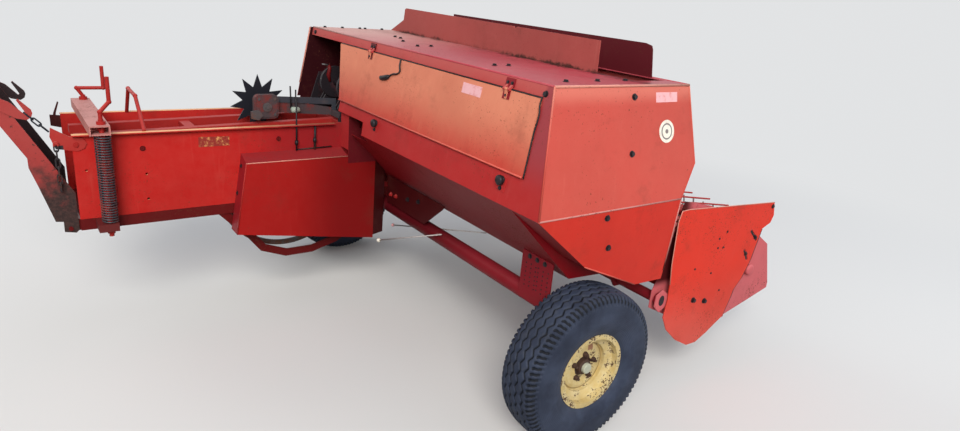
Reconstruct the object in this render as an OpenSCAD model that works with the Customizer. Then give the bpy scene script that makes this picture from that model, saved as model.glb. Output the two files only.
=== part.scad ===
// Small high-pressure square baler, parked on its two wheels and its jack.
// +X points forward along the travel, +Y to the machine's left, +Z up.
// Every module draws in machine coordinates: X from the axle line, Y from the
// bale chamber's centre plane, Z from the ground. placed() then moves the
// machine so that its origin is the centre of its footprint.

/* [Bale chamber] */
// Width over the two chamber walls
chamber_w = 480; // [440:10:520]
// Reach of the chamber behind the axle line
chamber_rear = 1620; // [1560:10:1700]
// Reach of the chamber ahead of the axle line
chamber_front = 1250; // [1230:10:1300]
// Height of the chamber walls' top edge
chamber_top = 1045; // [1035:5:1055]
// Height of the chamber walls' bottom edge
chamber_low = 640; // [632:2:648]
// Thickness of the chamber walls
wall_t = 6; // [4:1:8]
// Reach of the walls' top flange
flange_w = 28; // [20:1:34]
// Height of the frame rails under the walls
frame_h = 55; // [45:1:60]
// Width of each frame rail
frame_w = 50; // [40:1:60]

/* [Hood] */
// Height of the hood's top
hood_top = 1515; // [1495:5:1540]
// Sheet thickness of the hood and the guards
sheet_t = 4; // [3:0.5:5]
// Place of the hood's rear top edge
hood_rear_x = -260; // [-280:5:-240]
// Place of the hood's front top edge
hood_front_x = 500; // [490:5:520]
// Reach of the hood to the right at its top
hood_reach = 1885; // [1860:5:1900]
// Reach of the hood to the left of the chamber's centre
hood_far = 314; // [300:2:320]
// How far the rear wall leans out at the bottom
rear_lean = 93; // [80:1:100]
// How far the right end leans out at the bottom
end_lean = 105; // [95:1:115]
// Height of the bend in the hood's front wall
nose_z = 1190; // [1160:5:1220]
// How far the bend stands ahead of the front top edge
nose_x = 40; // [30:1:50]
// Height of the two upright guards on the top
guard_h = 142; // [120:1:160]
// Height of the strip above the door
fascia_h = 46; // [40:1:55]
// Height of the door's lower edge
door_low = 1172; // [1160:1:1190]
// Depth of the door's bent edges
door_depth = 18; // [14:1:24]
// Gap round the door
door_gap = 6; // [5:0.5:8]

/* [Wheels] */
// Outside diameter of the tyres
tyre_d = 710; // [690:5:730]
// Section width of the tyres
tyre_w = 215; // [200:5:230]
// Diameter over the rim flanges
rim_d = 340; // [330:1:350]
// Distance of the right wheel from the chamber's centre
wheel_right_y = 1955; // [1940:5:1980]
// Distance of the left wheel from the chamber's centre
wheel_left_y = 470; // [465:5:500]
// Diameter of the axle tube
axle_d = 80; // [70:1:90]
// Height of the axle tube's centre
axle_z = 540; // [535:1:544]

/* [Pickup] */
// Distance of the reel's centre ahead of the axle
reel_x = 1300; // [1285:5:1315]
// Height of the reel's centre
reel_z = 520; // [510:2:530]
// Radius of the tine tips
tine_r = 265; // [255:1:270]
// Outer radius of the stripper bands
band_r = 205; // [195:1:212]
// Spacing of the stripper bands
band_pitch = 68; // [66:1:80]
// Width of one stripper band
band_w = 34; // [28:1:38]
// Distance of the outer side plate from the chamber's centre
plate_y = 1920; // [1910:5:1930]
// Distance of the pickup's left plate from the chamber's centre
pickup_left_y = 420; // [400:5:440]

/* [Drive and drawbar] */
// Radius of the flywheel
fly_r = 300; // [280:5:310]
// Width of the flywheel's rim
fly_w = 110; // [90:5:120]
// Height of the flywheel's shaft
fly_z = 800; // [795:5:820]
// Length of the drawbar from its pivot to the hitch
drawbar_l = 1600; // [1400:10:1800]
// Height of the drawbar's beam at its centre
drawbar_z = 410; // [405:1:415]
// Bore radius of the hitch eye
hitch_r = 16.5; // [14:0.5:20]
// Bore radius of the drawbar's pivot
pivot_r = 25; // [20:1:28]
// Radius of the jack's leg
jack_r = 24; // [20:1:28]

/* [Chute, star wheel and density gear] */
// Length of the folded bale chute
chute_l = 950; // [850:10:1000]
// Angle of the folded chute above the ground line
chute_angle = 61.5; // [58:0.5:64]
// Radius of the star wheel's points
star_r = 150; // [140:1:155]
// Number of points on the star wheel
star_n = 11; // [9:1:13]
// Outer radius of the density springs
spring_r = 37; // [32:1:38]
// Turns of each density spring
spring_turns = 16; // [12:1:20]

/* [Hidden] */

half_w = chamber_w / 2;
fit_gap = 0.05; // radial clearance of a running fit
seat = 0.3; // gap between curved faces that seat on each other
frame_low = chamber_low - frame_h;
fine = 48;

rear_end = [-chamber_rear, 0];
hood_low = chamber_top;
flange_y = half_w + flange_w;

// Footprint of the parked machine
chute_pivot = [-chamber_rear - 41, frame_low + 15];
chute_d = [-cos(chute_angle), sin(chute_angle)];
chute_m = [sin(chute_angle), cos(chute_angle)];
drawbar_x = chamber_front - 90;
drawbar_y = -60;
eye_r = 48;
hitch_x = drawbar_x + drawbar_l;
left_edge = wheel_left_y + tyre_w / 2;
right_edge = -wheel_right_y - tyre_w / 2;
chute_bar = [53, 114]; // the side bar's two edges, measured across the chute
chute_pin_r = 10;
chute_t = 6;
chute_side_y = half_w - 4 - chute_t;

// Point in X and Z at u along the folded chute and v across it
function on_chute(q) = chute_pivot + q[0] * chute_d + q[1] * chute_m;
chute_rear_x = on_chute([chute_l, chute_bar[0]])[0];
mid_x = (hitch_x + eye_r + chute_rear_x) / 2;
mid_y = (left_edge + right_edge) / 2;

module placed() { translate([-mid_x, -mid_y, 0]) children(); }

// Extrudes an outline drawn in X and Z, from y0 to y1
module along_y(y0, y1) {
    translate([0, y1, 0]) rotate([90, 0, 0]) linear_extrude(y1 - y0) children();
}

// Extrudes an outline drawn in Y and Z, from x0 to x1
module along_x(x0, x1) {
    translate([x0, 0, 0]) rotate([90, 0, 90]) linear_extrude(x1 - x0) children();
}

// Box from its low corner to its high corner
module span(lo, hi) { translate(lo) cube(hi - lo); }

// Point in X and Z at a place along Y
function p2(p, y) = [p[0], y, p[1]];

// Rod along Y, round
module rod_y(x, z, y0, y1, r, fn = fine) {
    translate([x, y1, z]) rotate([90, 0, 0]) cylinder(r = r, h = y1 - y0, $fn = fn);
}

module rod_x(y, z, x0, x1, r, fn = fine) {
    translate([x0, y, z]) rotate([0, 90, 0]) cylinder(r = r, h = x1 - x0, $fn = fn);
}

module rod_z(x, y, z0, z1, r, fn = fine) {
    translate([x, y, z0]) cylinder(r = r, h = z1 - z0, $fn = fn);
}

// Round bar between two points
module bar(a, b, r, fn = 16) {
    d = b - a;
    len = norm(d);
    translate(a) rotate([0, acos(d[2] / len), atan2(d[1], d[0])]) cylinder(r = r, h = len, $fn = fn);
}

// Outline of a bent sheet: a line of points thickened to its left by t
function unit(v) = v / norm(v);
function left_of(v) = [-v[1], v[0]];
function mitre(p, i, t) =
    let (n = len(p),
        a = i > 0 ? unit(p[i] - p[i - 1]) : unit(p[1] - p[0]),
        b = i < n - 1 ? unit(p[i + 1] - p[i]) : unit(p[n - 1] - p[n - 2]),
        m = unit(left_of(a) + left_of(b)))
    p[i] + m * t / (m * left_of(a));
function strip(p, t) = concat(p, [for (i = [len(p) - 1:-1:0]) mitre(p, i, t)]);

// Hood planes at a height
hood_span = hood_reach + end_lean + 100;
function lean_at(z) = (hood_top - z) / (hood_top - hood_low);
function rear_x(z) = hood_rear_x - rear_lean * lean_at(z);
function end_y(z) = -hood_reach - end_lean * lean_at(z);
front_low_x = hood_front_x - 50;

/* Bale chamber */

module chamber_wall() {
    // Wall on the +Y side, with its top flange turned out
    along_x(-chamber_rear, chamber_front) polygon([
        [half_w - wall_t, chamber_low], [half_w, chamber_low],
        [half_w, chamber_top - wall_t], [flange_y, chamber_top - wall_t],
        [flange_y, chamber_top], [half_w - wall_t, chamber_top]]);
}

feed_window = [-150, 430];
feed_low = 662;

module chamber_wall_right() color("firebrick") difference() {
    mirror([0, 1, 0]) chamber_wall();
    // Flange left out under the hood
    span([rear_x(hood_low) - 12, -flange_y - 1, chamber_top - wall_t - 1],
        [front_low_x + 16, -half_w, chamber_top + 1]);
    // Feed window
    span([feed_window[0], -half_w - 1, feed_low + 10], [feed_window[1], -half_w + wall_t + 1, chamber_top - 40]);
    // Holes seen in the wall
    for (h = [[-1574, 874], [-1325, 962], [-1325, 836], [-1325, 710], [-670, 968]])
        rod_y(h[0], h[1], -half_w - 1, -half_w + wall_t + 1, 6, 24);
}

module chamber_wall_left() color("firebrick") chamber_wall();

needle_y = 115;
needle_slot = 26;
needle_x = [-980, -180];

module chamber_floor() color("darkred") {
    inner = half_w - wall_t;
    difference() {
        span([-chamber_rear, -inner, chamber_low], [chamber_front, inner, chamber_low + wall_t]);
        for (y = [-needle_y, needle_y])
            span([-330, y - needle_slot / 2, chamber_low - 1], [-150, y + needle_slot / 2, chamber_low + wall_t + 1]);
    }
    // Frame rails and cross members below
    for (s = [-1, 1])
        span([-chamber_rear, min(s * half_w, s * (half_w - frame_w)), frame_low],
            [chamber_front + 190, max(s * half_w, s * (half_w - frame_w)), chamber_low]);
    for (x = [-chamber_rear, 560, chamber_front + 130])
        span([x, -half_w + frame_w, frame_low], [x + 60, half_w - frame_w, chamber_low]);
    // Ears and pins for the chute
    for (s = [-1, 1]) {
        ear = [for (y = [chute_side_y - 13, chute_side_y - 1]) s * y];
        along_y(min(ear), max(ear)) polygon([
            [-chamber_rear, frame_low], [-chamber_rear, chamber_low], [chute_pivot[0] - 14, chute_pivot[1] + 16],
            [chute_pivot[0] - 20, chute_pivot[1]], [chute_pivot[0] - 14, chute_pivot[1] - 16]]);
        pin = [for (y = [chute_side_y - 13, half_w + 2]) s * y];
        rod_y(chute_pivot[0], chute_pivot[1], min(pin), max(pin), chute_pin_r);
    }
}

roof_x = -150;

module chamber_roof() color("firebrick") {
    inner = half_w - wall_t;
    span([roof_x, -inner, chamber_top - wall_t], [chamber_front, inner, chamber_top]);
    // Knotter bridge behind the roof
    span([-330, -inner, chamber_top - 40], [-300, inner, chamber_top]);
}

rail_y = 110;
rail_w = 44;
rail_h = 40;

module tension_rails() color("firebrick") {
    for (y = [-rail_y, rail_y]) along_y(y - rail_w / 2, y + rail_w / 2) polygon([
        [-330, chamber_top - rail_h], [-330, chamber_top],
        [-chamber_rear + 20, chamber_top - 30], [-chamber_rear + 20, chamber_top - 30 - rail_h]]);
    // Tie bar across the two rails
    span([-1100, -rail_y + rail_w / 2, chamber_top - 50], [-1050, rail_y - rail_w / 2, chamber_top - 26]);
}

/* Density gear */

spring_x = -chamber_rear + 115;
beam_x = spring_x - 11;
beam_w = 84;
beam_z = chamber_top + 12;
beam_h = 44;
spring_y = flange_y + spring_r + 6;
beam_reach = spring_y + spring_r + 4;
lug_z = chamber_low - 2;
screw_r = 11;

module density_beams() color("firebrick") {
    // Top beam, a channel open below, with a plate over each spring
    difference() {
        span([beam_x - beam_w / 2, -beam_reach, beam_z], [beam_x + beam_w / 2, beam_reach, beam_z + beam_h]);
        span([beam_x - beam_w / 2 + 6, -beam_reach - 1, beam_z - 1],
            [beam_x + beam_w / 2 - 6, beam_reach + 1, beam_z + beam_h - 6]);
        for (s = [-1, 1]) rod_z(spring_x, s * spring_y, beam_z - 1, beam_z + beam_h + 1, screw_r + 1);
    }
    for (s = [-1, 1]) difference() {
        union() {
            // Spring seat inside the channel's end
            span([beam_x - beam_w / 2 + 6, s * spring_y - spring_r, beam_z],
                [beam_x + beam_w / 2 - 6, s * spring_y + spring_r, beam_z + 6]);
            // Lower lug on the wall
            span([beam_x - beam_w / 2, min(s * half_w, s * beam_reach), lug_z - 36],
                [beam_x + beam_w / 2, max(s * half_w, s * beam_reach), lug_z]);
        }
        rod_z(spring_x, s * spring_y, lug_z - 60, beam_z + beam_h, screw_r + 1);
    }
    // Hangers from the beam to the tension rails
    for (s = [-1, 1]) {
        rail_top = chamber_top - 30 * (-330 - (beam_x + 15)) / (chamber_rear - 20 - 330);
        span([beam_x - 15, s * rail_y - 12, rail_top], [beam_x + 15, s * rail_y + 12, beam_z + beam_h - 6]);
    }
}

// Spring as a round wire wound in a helix, closed at its ends
wire_r = 4.5;
spring_steps = 10;
wire_sides = 5;

function spring_points(z0, z1) =
    let (n = spring_turns * spring_steps, r = spring_r - wire_r)
    [for (i = [0:n]) for (k = [0:wire_sides - 1])
        let (a = 360 * i / spring_steps, b = 360 * k / wire_sides,
            z = z0 + wire_r + (z1 - z0 - 2 * wire_r) * i / n, rr = r + wire_r * cos(b))
        [rr * cos(a), rr * sin(a), z + wire_r * sin(b)]];

module spring(z0, z1) {
    n = spring_turns * spring_steps;
    m = wire_sides;
    polyhedron(points = spring_points(z0, z1),
        faces = concat(
            [[for (k = [0:m - 1]) k]],
            [for (i = [0:n - 1]) for (k = [0:m - 1])
                [i * m + k, (i + 1) * m + k, (i + 1) * m + (k + 1) % m]],
            [for (i = [0:n - 1]) for (k = [0:m - 1])
                [i * m + k, (i + 1) * m + (k + 1) % m, i * m + (k + 1) % m]],
            [[for (k = [m - 1:-1:0]) n * m + k]]));
}

module density_springs() color("dimgray") for (s = [-1, 1])
    translate([spring_x, s * spring_y, 0]) rotate([0, 0, 180]) spring(lug_z + seat, beam_z - seat);

// One row a crank: side, stub lean in X, stub top, arm reach in X and Y, arm end, handle top
crank_rows = [[-1, 0, 1157, 44, 40, 1193, 1305], [1, -25, 1160, 92, -30, 1164, 1275]];

module density_cranks() color("firebrick") for (c = crank_rows) {
    y = c[0] * spring_y;
    hub_z = beam_z + beam_h;
    stub = [spring_x + c[1], y, c[2]];
    knee = [spring_x + c[3], y + c[4], c[5]];
    rod_z(spring_x, y, lug_z - 70, hub_z + 24, screw_r);
    rod_z(spring_x, y, hub_z, hub_z + 14, 19);
    rod_z(spring_x, y, lug_z - 56, lug_z - 36, 17, 6);
    bar([spring_x, y, hub_z + 18], stub, 9);
    bar(stub, knee, 9);
    bar(knee, [knee[0], knee[1], c[6]], 9);
    for (q = [stub, knee]) translate(q) sphere(r = 11, $fn = 24);
}

module grab_hoop() color("firebrick") {
    pts = [[-1320, -half_w + 3, chamber_top], [-1320, -60, chamber_top + 136],
        [-1320, 130, chamber_top + 140], [-1320, half_w - 3, chamber_top]];
    difference() {
        union() for (i = [0:2]) bar(pts[i], pts[i + 1], 9);
        span([-1340, -half_w - 20, chamber_top - 20], [-1300, half_w + 20, chamber_top]);
    }
    for (i = [1:2]) translate(pts[i]) sphere(r = 11, $fn = 24);
}

// Ear plates that hold the chute's chains, with a spike on the far one
ear_pts = [[-75, 1080], [-81, 1038], [-63, 983], [20, 968], [48, 980], [58, 1003], [46, 1024], [20, 1030],
    [-5, 1036], [-23, 1046]];
far_pts = [[-45, 1040], [-45, 985], [20, 968], [48, 980], [58, 1003], [46, 1024], [20, 1030], [-5, 1036]];
spike_pts = [[-41, 988], [-23, 987], [-16, 1048], [0, 1100], [-5, 1105], [-27, 1048]];

module wall_ears() color("firebrick") {
    translate([-chamber_rear, 0, 0]) {
        along_y(-half_w - chute_t, -half_w) polygon(ear_pts);
        along_y(half_w, half_w + chute_t) polygon(far_pts);
        along_y(half_w + chute_t, half_w + 2 * chute_t) polygon(spike_pts);
    }
    // Bolt with the loose end of the near chain
    rod_y(ear_bolt[0], ear_bolt[2], ear_bolt[1] - 5, -half_w - chute_t, ear_bolt_r, 24);
    for (i = [0:tail_n - 1]) translate(ear_bolt - [0, 0, link_l / 2 - link_w - ear_bolt_r - seat + i * link_pitch])
        rotate([0, 90, i % 2 == 0 ? 90 : 0]) chain_link(false);
}

/* Chains */

link_w = 6; // thickness of a link's wire
link_l = 49.5;
link_h = 22;
link_pitch = link_l - 2 * link_w - seat;
ear_bolt = [-chamber_rear - 62, -half_w - chute_t - 7, 1008];
ear_bolt_r = 4.5;
tail_n = 6;

function oval(l, h) = [for (s = [-1, 1]) for (a = [-90:30:90])
    [s * ((l - h) / 2 + h / 2 * cos(a)), s * h / 2 * sin(a)]];

// Flat link along X; turned links stand across the one before
module chain_link(turned) rotate([turned ? 90 : 0, 0, 0])
    linear_extrude(link_w, center = true) difference() {
        polygon(oval(link_l, link_h));
        polygon(oval(link_l - 2 * link_w, link_h - 2 * link_w));
    }

/* Knotter side guards and needles */

guard_y = half_w + 100;
guard_pts = [[-867, 960], [-937, 497], [-150, 364], [-150, 834], [-320, 834], [-320, 960]];

module guard_solid(t) {
    // The drive guard's outline, with its top sloping up to the wall
    intersection() {
        along_x(-1000, 0) polygon([[-guard_y + t, 300], [-guard_y + t, 876 - t],
            [-half_w + t, 905 - t], [-half_w + t, 300]]);
        along_y(-guard_y, -half_w + 2 * t) polygon([
            guard_pts[0] + [t, 0], guard_pts[1] + [t, t], guard_pts[2] + [-t, t],
            guard_pts[3] + [-t, -t], guard_pts[4] + [-t, -t], guard_pts[5] + [-t, 0]]);
    }
}

module drive_guard() color("red") difference() {
    guard_solid(0);
    guard_solid(sheet_t);
}

neck_x = [-320, -150];

module neck_guard() color("red") {
    // Rear face, then the face turned to the right
    span([neck_x[0], -guard_y, 905 + 5], [neck_x[0] + sheet_t, -half_w, chamber_top + 65]);
    along_y(-guard_y, -guard_y + sheet_t) polygon([[neck_x[0], 834], [neck_x[1], 834],
        [neck_x[1], chamber_top - 90], [neck_x[0] + 60, chamber_top - 5], [neck_x[0] + 60, chamber_top + 20],
        [neck_x[0], chamber_top + 65]]);
}

// Flat bar bent to a bow below the chamber
bow_pts = [[-1000, frame_low], [-850, 428], [-780, 340], [-640, 286], [-480, 286], [-330, 330], [-180, 430],
    [-150, frame_low]];

module needle_guard() color("darkred") for (s = [-1, 1])
    translate([0, s * (half_w - 14), 0]) along_y(-5, 5) intersection() {
        polygon(strip(bow_pts, 42));
        translate([-1100, 0]) square([1100, frame_low]);
    }

yoke = [-288, 505];
needle_c = [-600, 690];
needle_ri = 350;
yoke_y = half_w - 32;

module needle_yoke() color("darkred") {
    rod_y(yoke[0], yoke[1], -yoke_y, yoke_y, 22);
    for (y = [-needle_y, needle_y]) translate([needle_c[0], y, needle_c[1]]) rotate([90, 0, 0])
        rotate([0, 0, 205]) translate([0, 0, -8]) rotate_extrude(angle = 122, $fn = 64)
            translate([needle_ri, 0]) square([26, 16]);
    // Arms up to the frame rails
    for (y = [-yoke_y, yoke_y - 12]) along_y(y, y + 12) polygon([
        [yoke[0] - 24, yoke[1] - 20], [yoke[0] + 24, yoke[1] - 20],
        [yoke[0] + 90, frame_low], [yoke[0] + 30, frame_low]]);
}

/* Knotters, star wheel and its bracket */

module knotters() color("dimgray") {
    z0 = chamber_top;
    shaft = [-215, z0 + 175];
    // Bridge plates on the chamber walls
    for (y = [-half_w + 12, half_w - 24]) along_y(y, y + 12) polygon([
        [-330, z0], [roof_x - 2, z0], [-170, z0 + 215], [-260, z0 + 215]]);
    rod_y(shaft[0], shaft[1], -half_w + 24, half_w - 24, 18);
    for (y = [-needle_y, needle_y]) {
        // Intermittent gear disc and the knotter frame below it
        rod_y(shaft[0], shaft[1], y - 40, y - 18, 92);
        difference() {
            along_y(y - 18, y + 30) polygon([[-300, z0 + 40], [-200, z0 + 30], [-160, z0 + 120],
                [-190, z0 + 190], [-240, z0 + 190], [-255, z0 + 120]]);
            along_y(y - 4, y + 18) polygon([[-310, z0 + 20], [-190, z0 + 20], [-175, z0 + 110],
                [-245, z0 + 140], [-265, z0 + 110]]);
        }
    }
}

star_c = [-705, chamber_top + 80];
axle_r = 11;

module star_bracket() color("dimgray") {
    // Arm from the knotter bridge back to the star wheel's shaft
    along_y(-112, -100) polygon([[star_c[0] - 20, star_c[1] - 24], [star_c[0] + 30, star_c[1] - 36],
        [-303, chamber_top + 16], [-303, chamber_top + 56], [star_c[0] + 30, star_c[1] + 40],
        [star_c[0] - 20, star_c[1] + 28]]);
    rod_y(star_c[0], star_c[1], -100, 16, axle_r);
    rod_y(star_c[0], star_c[1], -140, -112, 62);
    // Cross tube to the right-hand knotter plate
    span([-325, -half_w + 24, chamber_top + 16], [-303, -100, chamber_top + 46]);
}

module star_wheel() color("black") difference() {
    union() {
        along_y(-4, 4) polygon([for (i = [0:2 * star_n - 1])
            let (a = 90 + 180 * i / star_n, r = i % 2 == 0 ? star_r : star_r * 0.56)
            [star_c[0] + r * cos(a), star_c[1] + r * sin(a)]]);
        rod_y(star_c[0], star_c[1], -30, 16, 22);
    }
    rod_y(star_c[0], star_c[1], -40, 40, axle_r + fit_gap);
}

/* Hood */

// Side outline of the hood, moved in by r behind, f ahead and t on top
module hood_side(r = 0, f = 0, t = 0) {
    z = hood_top - t;
    polygon([[rear_x(z) + r, z], [hood_front_x + nose_x * t / (hood_top - nose_z) - f, z],
        [hood_front_x + nose_x - f, nose_z], [front_low_x - f, hood_low],
        [rear_x(hood_low) + r, hood_low]]);
}

// Rear outline of the hood, moved in by e at the right end and t on top
module hood_back(e = 0, far = 0, t = 0) {
    z = hood_top - t;
    polygon([[end_y(z) + e, z], [hood_far - far, z], [hood_far - far, hood_low], [end_y(hood_low) + e, hood_low]]);
}

slot_x = [290, 470];
slot_y = [-hood_reach + 105, 100];

module hood_top() color("red") difference() {
    intersection() {
        along_y(-hood_span, hood_far) hood_side();
        along_x(-400, 600) hood_back(sheet_t, sheet_t);
        span([-400, -hood_span, hood_top - sheet_t], [600, hood_far, hood_top]);
    }
    span([slot_x[0], slot_y[0], hood_top - 2 * sheet_t], [slot_x[1], slot_y[1], hood_top + 1]);
}

door_top = hood_top - fascia_h - door_gap;
door_left = [-125, -240];
door_right = [-hood_reach + 50, -hood_reach + 35];

// Door outline in Y and Z, grown outwards by g
module door_outline(g = 0) polygon([
    [door_left[0] + g, door_top + g], [door_left[1] + g, door_low - g],
    [door_right[1] - g, door_low - g], [door_right[0] - g, door_top + g]]);

// Slab along the hood's rear plane, from depth a to depth b
module rear_slab(a, b) {
    along_y(-hood_span, hood_far) polygon([
        [rear_x(hood_top) + a, hood_top], [rear_x(hood_top) + b, hood_top],
        [rear_x(hood_low) + b, hood_low], [rear_x(hood_low) + a, hood_low]]);
}

skirt_z = 1112;
skirt_y = -550;

module hood_rear() color("red") {
    difference() {
        intersection() {
            rear_slab(0, sheet_t);
            along_x(-500, 600) hood_back(sheet_t, sheet_t, sheet_t);
        }
        along_x(-500, 0) door_outline(door_gap);
        // Open bay over the chamber, left of the door
        along_x(-500, 0) polygon([[hood_far, hood_top - fascia_h], [door_left[0] - 10, hood_top - fascia_h],
            [door_left[1] - 4, door_low - 2 * door_gap], [door_left[1] - 4, hood_low - 1], [hood_far, hood_low - 1]]);
        // Skirt cut short next to the neck guard
        along_x(-500, 0) polygon([[door_left[1] + 10, skirt_z], [skirt_y, skirt_z],
            [skirt_y - 12, hood_low - 1], [door_left[1] + 10, hood_low - 1]]);
    }
    for (y = hinge_y) hinge_fixed(y);
}

module hood_front() color("red") difference() {
    intersection() {
        difference() {
            along_y(-hood_span, hood_far) hood_side(f = 0);
            along_y(-hood_span - 1, hood_far + 1) polygon([
                [-600, hood_top + 1], [hood_front_x - sheet_t, hood_top + 1],
                [hood_front_x + nose_x - sheet_t, nose_z],
                [front_low_x - sheet_t, hood_low - 1], [-600, hood_low - 1]]);
        }
        along_x(0, 600) hood_back(sheet_t, sheet_t, sheet_t);
    }
}

module hood_end_panel() color("red") intersection() {
    along_y(-hood_span, 0) hood_side();
    along_x(-500, 600) polygon([[end_y(hood_top), hood_top], [end_y(hood_top) + sheet_t, hood_top],
        [end_y(hood_low) + sheet_t, hood_low], [end_y(hood_low), hood_low]]);
}

far_flange = 20;
far_flange_z = chamber_top + 55;

module hood_far_plate() color("red") {
    along_y(hood_far - sheet_t, hood_far) hood_side();
    // Foot turned in over the chamber wall's flange
    span([rear_x(hood_low), flange_y - 20, hood_low], [front_low_x - sheet_t, hood_far - sheet_t, hood_low + sheet_t]);
    // Flange along the rear edge
    intersection() {
        rear_slab(-far_flange, 0);
        span([-600, hood_far - sheet_t, far_flange_z], [0, hood_far, hood_top - 2]);
    }
}

guard_corner = 24;
guard_end = -hood_reach + 205;

module hood_guards() color("red") {
    along_x(slot_x[0] - 16 - sheet_t, slot_x[0] - 16) polygon([
        [-hood_reach + 318, hood_top], [hood_far - 2, hood_top], [154, hood_top + guard_h * 0.53],
        [142, hood_top + guard_h - 2], [128, hood_top + guard_h + 6], [-960, hood_top + guard_h],
        [-968, hood_top + guard_h - 10], [-985, hood_top + guard_h],
        [-hood_reach + 323, hood_top + guard_h - 4]]);
    along_x(slot_x[1] + 6, slot_x[1] + 6 + sheet_t) union() {
        polygon([[guard_end - 20, hood_top], [-100, hood_top], [-100, hood_top + guard_h],
            [guard_end + 20 + guard_corner, hood_top + guard_h], [guard_end + 8, hood_top + guard_h - 8],
            [guard_end, hood_top + guard_h - guard_corner]]);
    }
}

/* Feed trough below the hood */

trough = [[rear_x(hood_low), hood_low], [5, feed_low + 28], [462, feed_low]];
skirt_edge = [[rear_x(hood_low), hood_low], [-60, 812], [284, feed_low], [462, feed_low - 6]];
skirt_in = 35;

// Height of the trough's underside at x, behind and ahead of its bend
function trough_back(x) = trough[1][1] + (trough[0][1] - trough[1][1]) * (x - trough[1][0]) / (trough[0][0] - trough[1][0]);
function trough_fore(x) = trough[1][1] + (trough[2][1] - trough[1][1]) * (x - trough[1][0]) / (trough[2][0] - trough[1][0]);

function skirt_y_at(z) = end_y(hood_low) + skirt_in * (hood_low - z) / (hood_low - feed_low);

module side_skirt() color("red") intersection() {
    along_y(-hood_span, 0) polygon(concat(skirt_edge, [[462, 700], [front_low_x, hood_low]]));
    along_x(-500, 600) polygon([
        [skirt_y_at(hood_low), hood_low], [skirt_y_at(hood_low) + sheet_t, hood_low],
        [skirt_y_at(600) + sheet_t, 600], [skirt_y_at(600), 600]]);
}

// The trough steps up over the right wheel, with an upright plate at the step
arch_y = -wheel_right_y + tyre_w / 2 + 18;
arch_x = 260;
function skirt_back(x) = skirt_edge[1][1] + (skirt_edge[2][1] - skirt_edge[1][1])
    * (x - skirt_edge[1][0]) / (skirt_edge[2][0] - skirt_edge[1][0]);

module feed_trough() color("darkred") difference() {
    lap = sheet_t / 2;
    union() {
        along_y(arch_y, -half_w) polygon(strip(trough, sheet_t));
        intersection() {
            along_y(-hood_span, arch_y + lap) polygon(strip(skirt_edge, sheet_t));
            along_x(-500, 600) polygon([
                [skirt_y_at(hood_low) + sheet_t, hood_low], [arch_y + 5, hood_low],
                [arch_y + 5, 600], [skirt_y_at(600) + sheet_t, 600]]);
        }
        along_y(arch_y, arch_y + sheet_t) polygon([trough[0] + [lap, 0], trough[1] + [0, lap],
            [arch_x, (trough_fore(arch_x) + skirt_back(arch_x)) / 2 + lap], skirt_edge[1] + [0, lap]]);
    }
    // Level with the hood's lower edge, with room for the neck guard and the open corner beside it
    span([-600, -hood_span, hood_low], [600, 0, hood_low + 60]);
    span([-500, skirt_y, 1000], [-280, 0, hood_low + 1]);
    span([-500, -guard_y, 800], [neck_x[1] + sheet_t, 0, hood_low + 1]);
}

module feeder_carriage() color("dimgray") {
    // Rail under the hood's top and its two packer forks
    x = [360, 420];
    span([x[0], end_y(hood_top) + 30, hood_top - 150], [x[1], hood_far - sheet_t, hood_top - 90]);
    for (y = [-hood_reach * 0.8, -hood_reach * 0.4]) {
        span([x[0] - 20, y - 45, hood_top - 210], [x[1] + 20, y + 45, hood_top - 150]);
        for (d = [-30, 30]) span([x[0] + 22, y + d - 6, 860], [x[0] + 38, y + d + 6, hood_top - 210]);
    }
}

/* Door */

hinge_y = [-500, -hood_reach + 240];
hinge_z = door_top + door_gap / 2;
knuckle_r = 6;
pin_r = 3;
door_proud = 8;
hinge_x = rear_x(hinge_z) - door_proud - knuckle_r;
leaf_w = 40;
leaf_t = 3;

module hinge_fixed(y) {
    // Two knuckles with the pin, and the leaf on the strip above the door
    for (d = [-1, 1]) {
        rod_y(hinge_x, hinge_z, y + d * 14 - 6, y + d * 14 + 6, knuckle_r);
        along_y(y + d * 14 - 6, y + d * 14 + 6) polygon([
            [hinge_x - 2, hinge_z + 4], [hinge_x + 4, hinge_z + 2], [rear_x(hinge_z + 8), hinge_z + 8],
            [rear_x(hinge_z + 20), hinge_z + 20], [rear_x(hinge_z + 20) - leaf_t, hinge_z + 20]]);
    }
    rod_y(hinge_x, hinge_z, y - leaf_w / 2, y + leaf_w / 2, pin_r);
    along_y(y - leaf_w / 2, y + leaf_w / 2) polygon([
        [rear_x(hinge_z + 12), hinge_z + 12], [rear_x(hinge_z + 38), hinge_z + 38],
        [rear_x(hinge_z + 38) - leaf_t, hinge_z + 38], [rear_x(hinge_z + 12) - leaf_t, hinge_z + 12]]);
}

module feeder_door() color("tomato") {
    difference() {
        intersection() {
            rear_slab(-door_proud, door_depth - door_proud);
            along_x(-600, 0) door_outline();
        }
        intersection() {
            rear_slab(-door_proud + sheet_t, door_depth);
            along_x(-600, 0) door_outline(-sheet_t);
        }
    }
    for (y = hinge_y) difference() {
        union() {
            rod_y(hinge_x, hinge_z, y - 7.5, y + 7.5, knuckle_r);
            along_y(y - 7.5, y + 7.5) polygon([
                [hinge_x - 5, hinge_z - 2], [hinge_x + 5, hinge_z - 2],
                [rear_x(door_top - 6) - door_proud, door_top - 6], [rear_x(door_top - 34) - door_proud, door_top - 34],
                [rear_x(door_top - 34) - door_proud - leaf_t, door_top - 34]]);
        }
        rod_y(hinge_x, hinge_z, y - 20, y + 20, pin_r + fit_gap);
    }
}

/* Axle and wheels */

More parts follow.
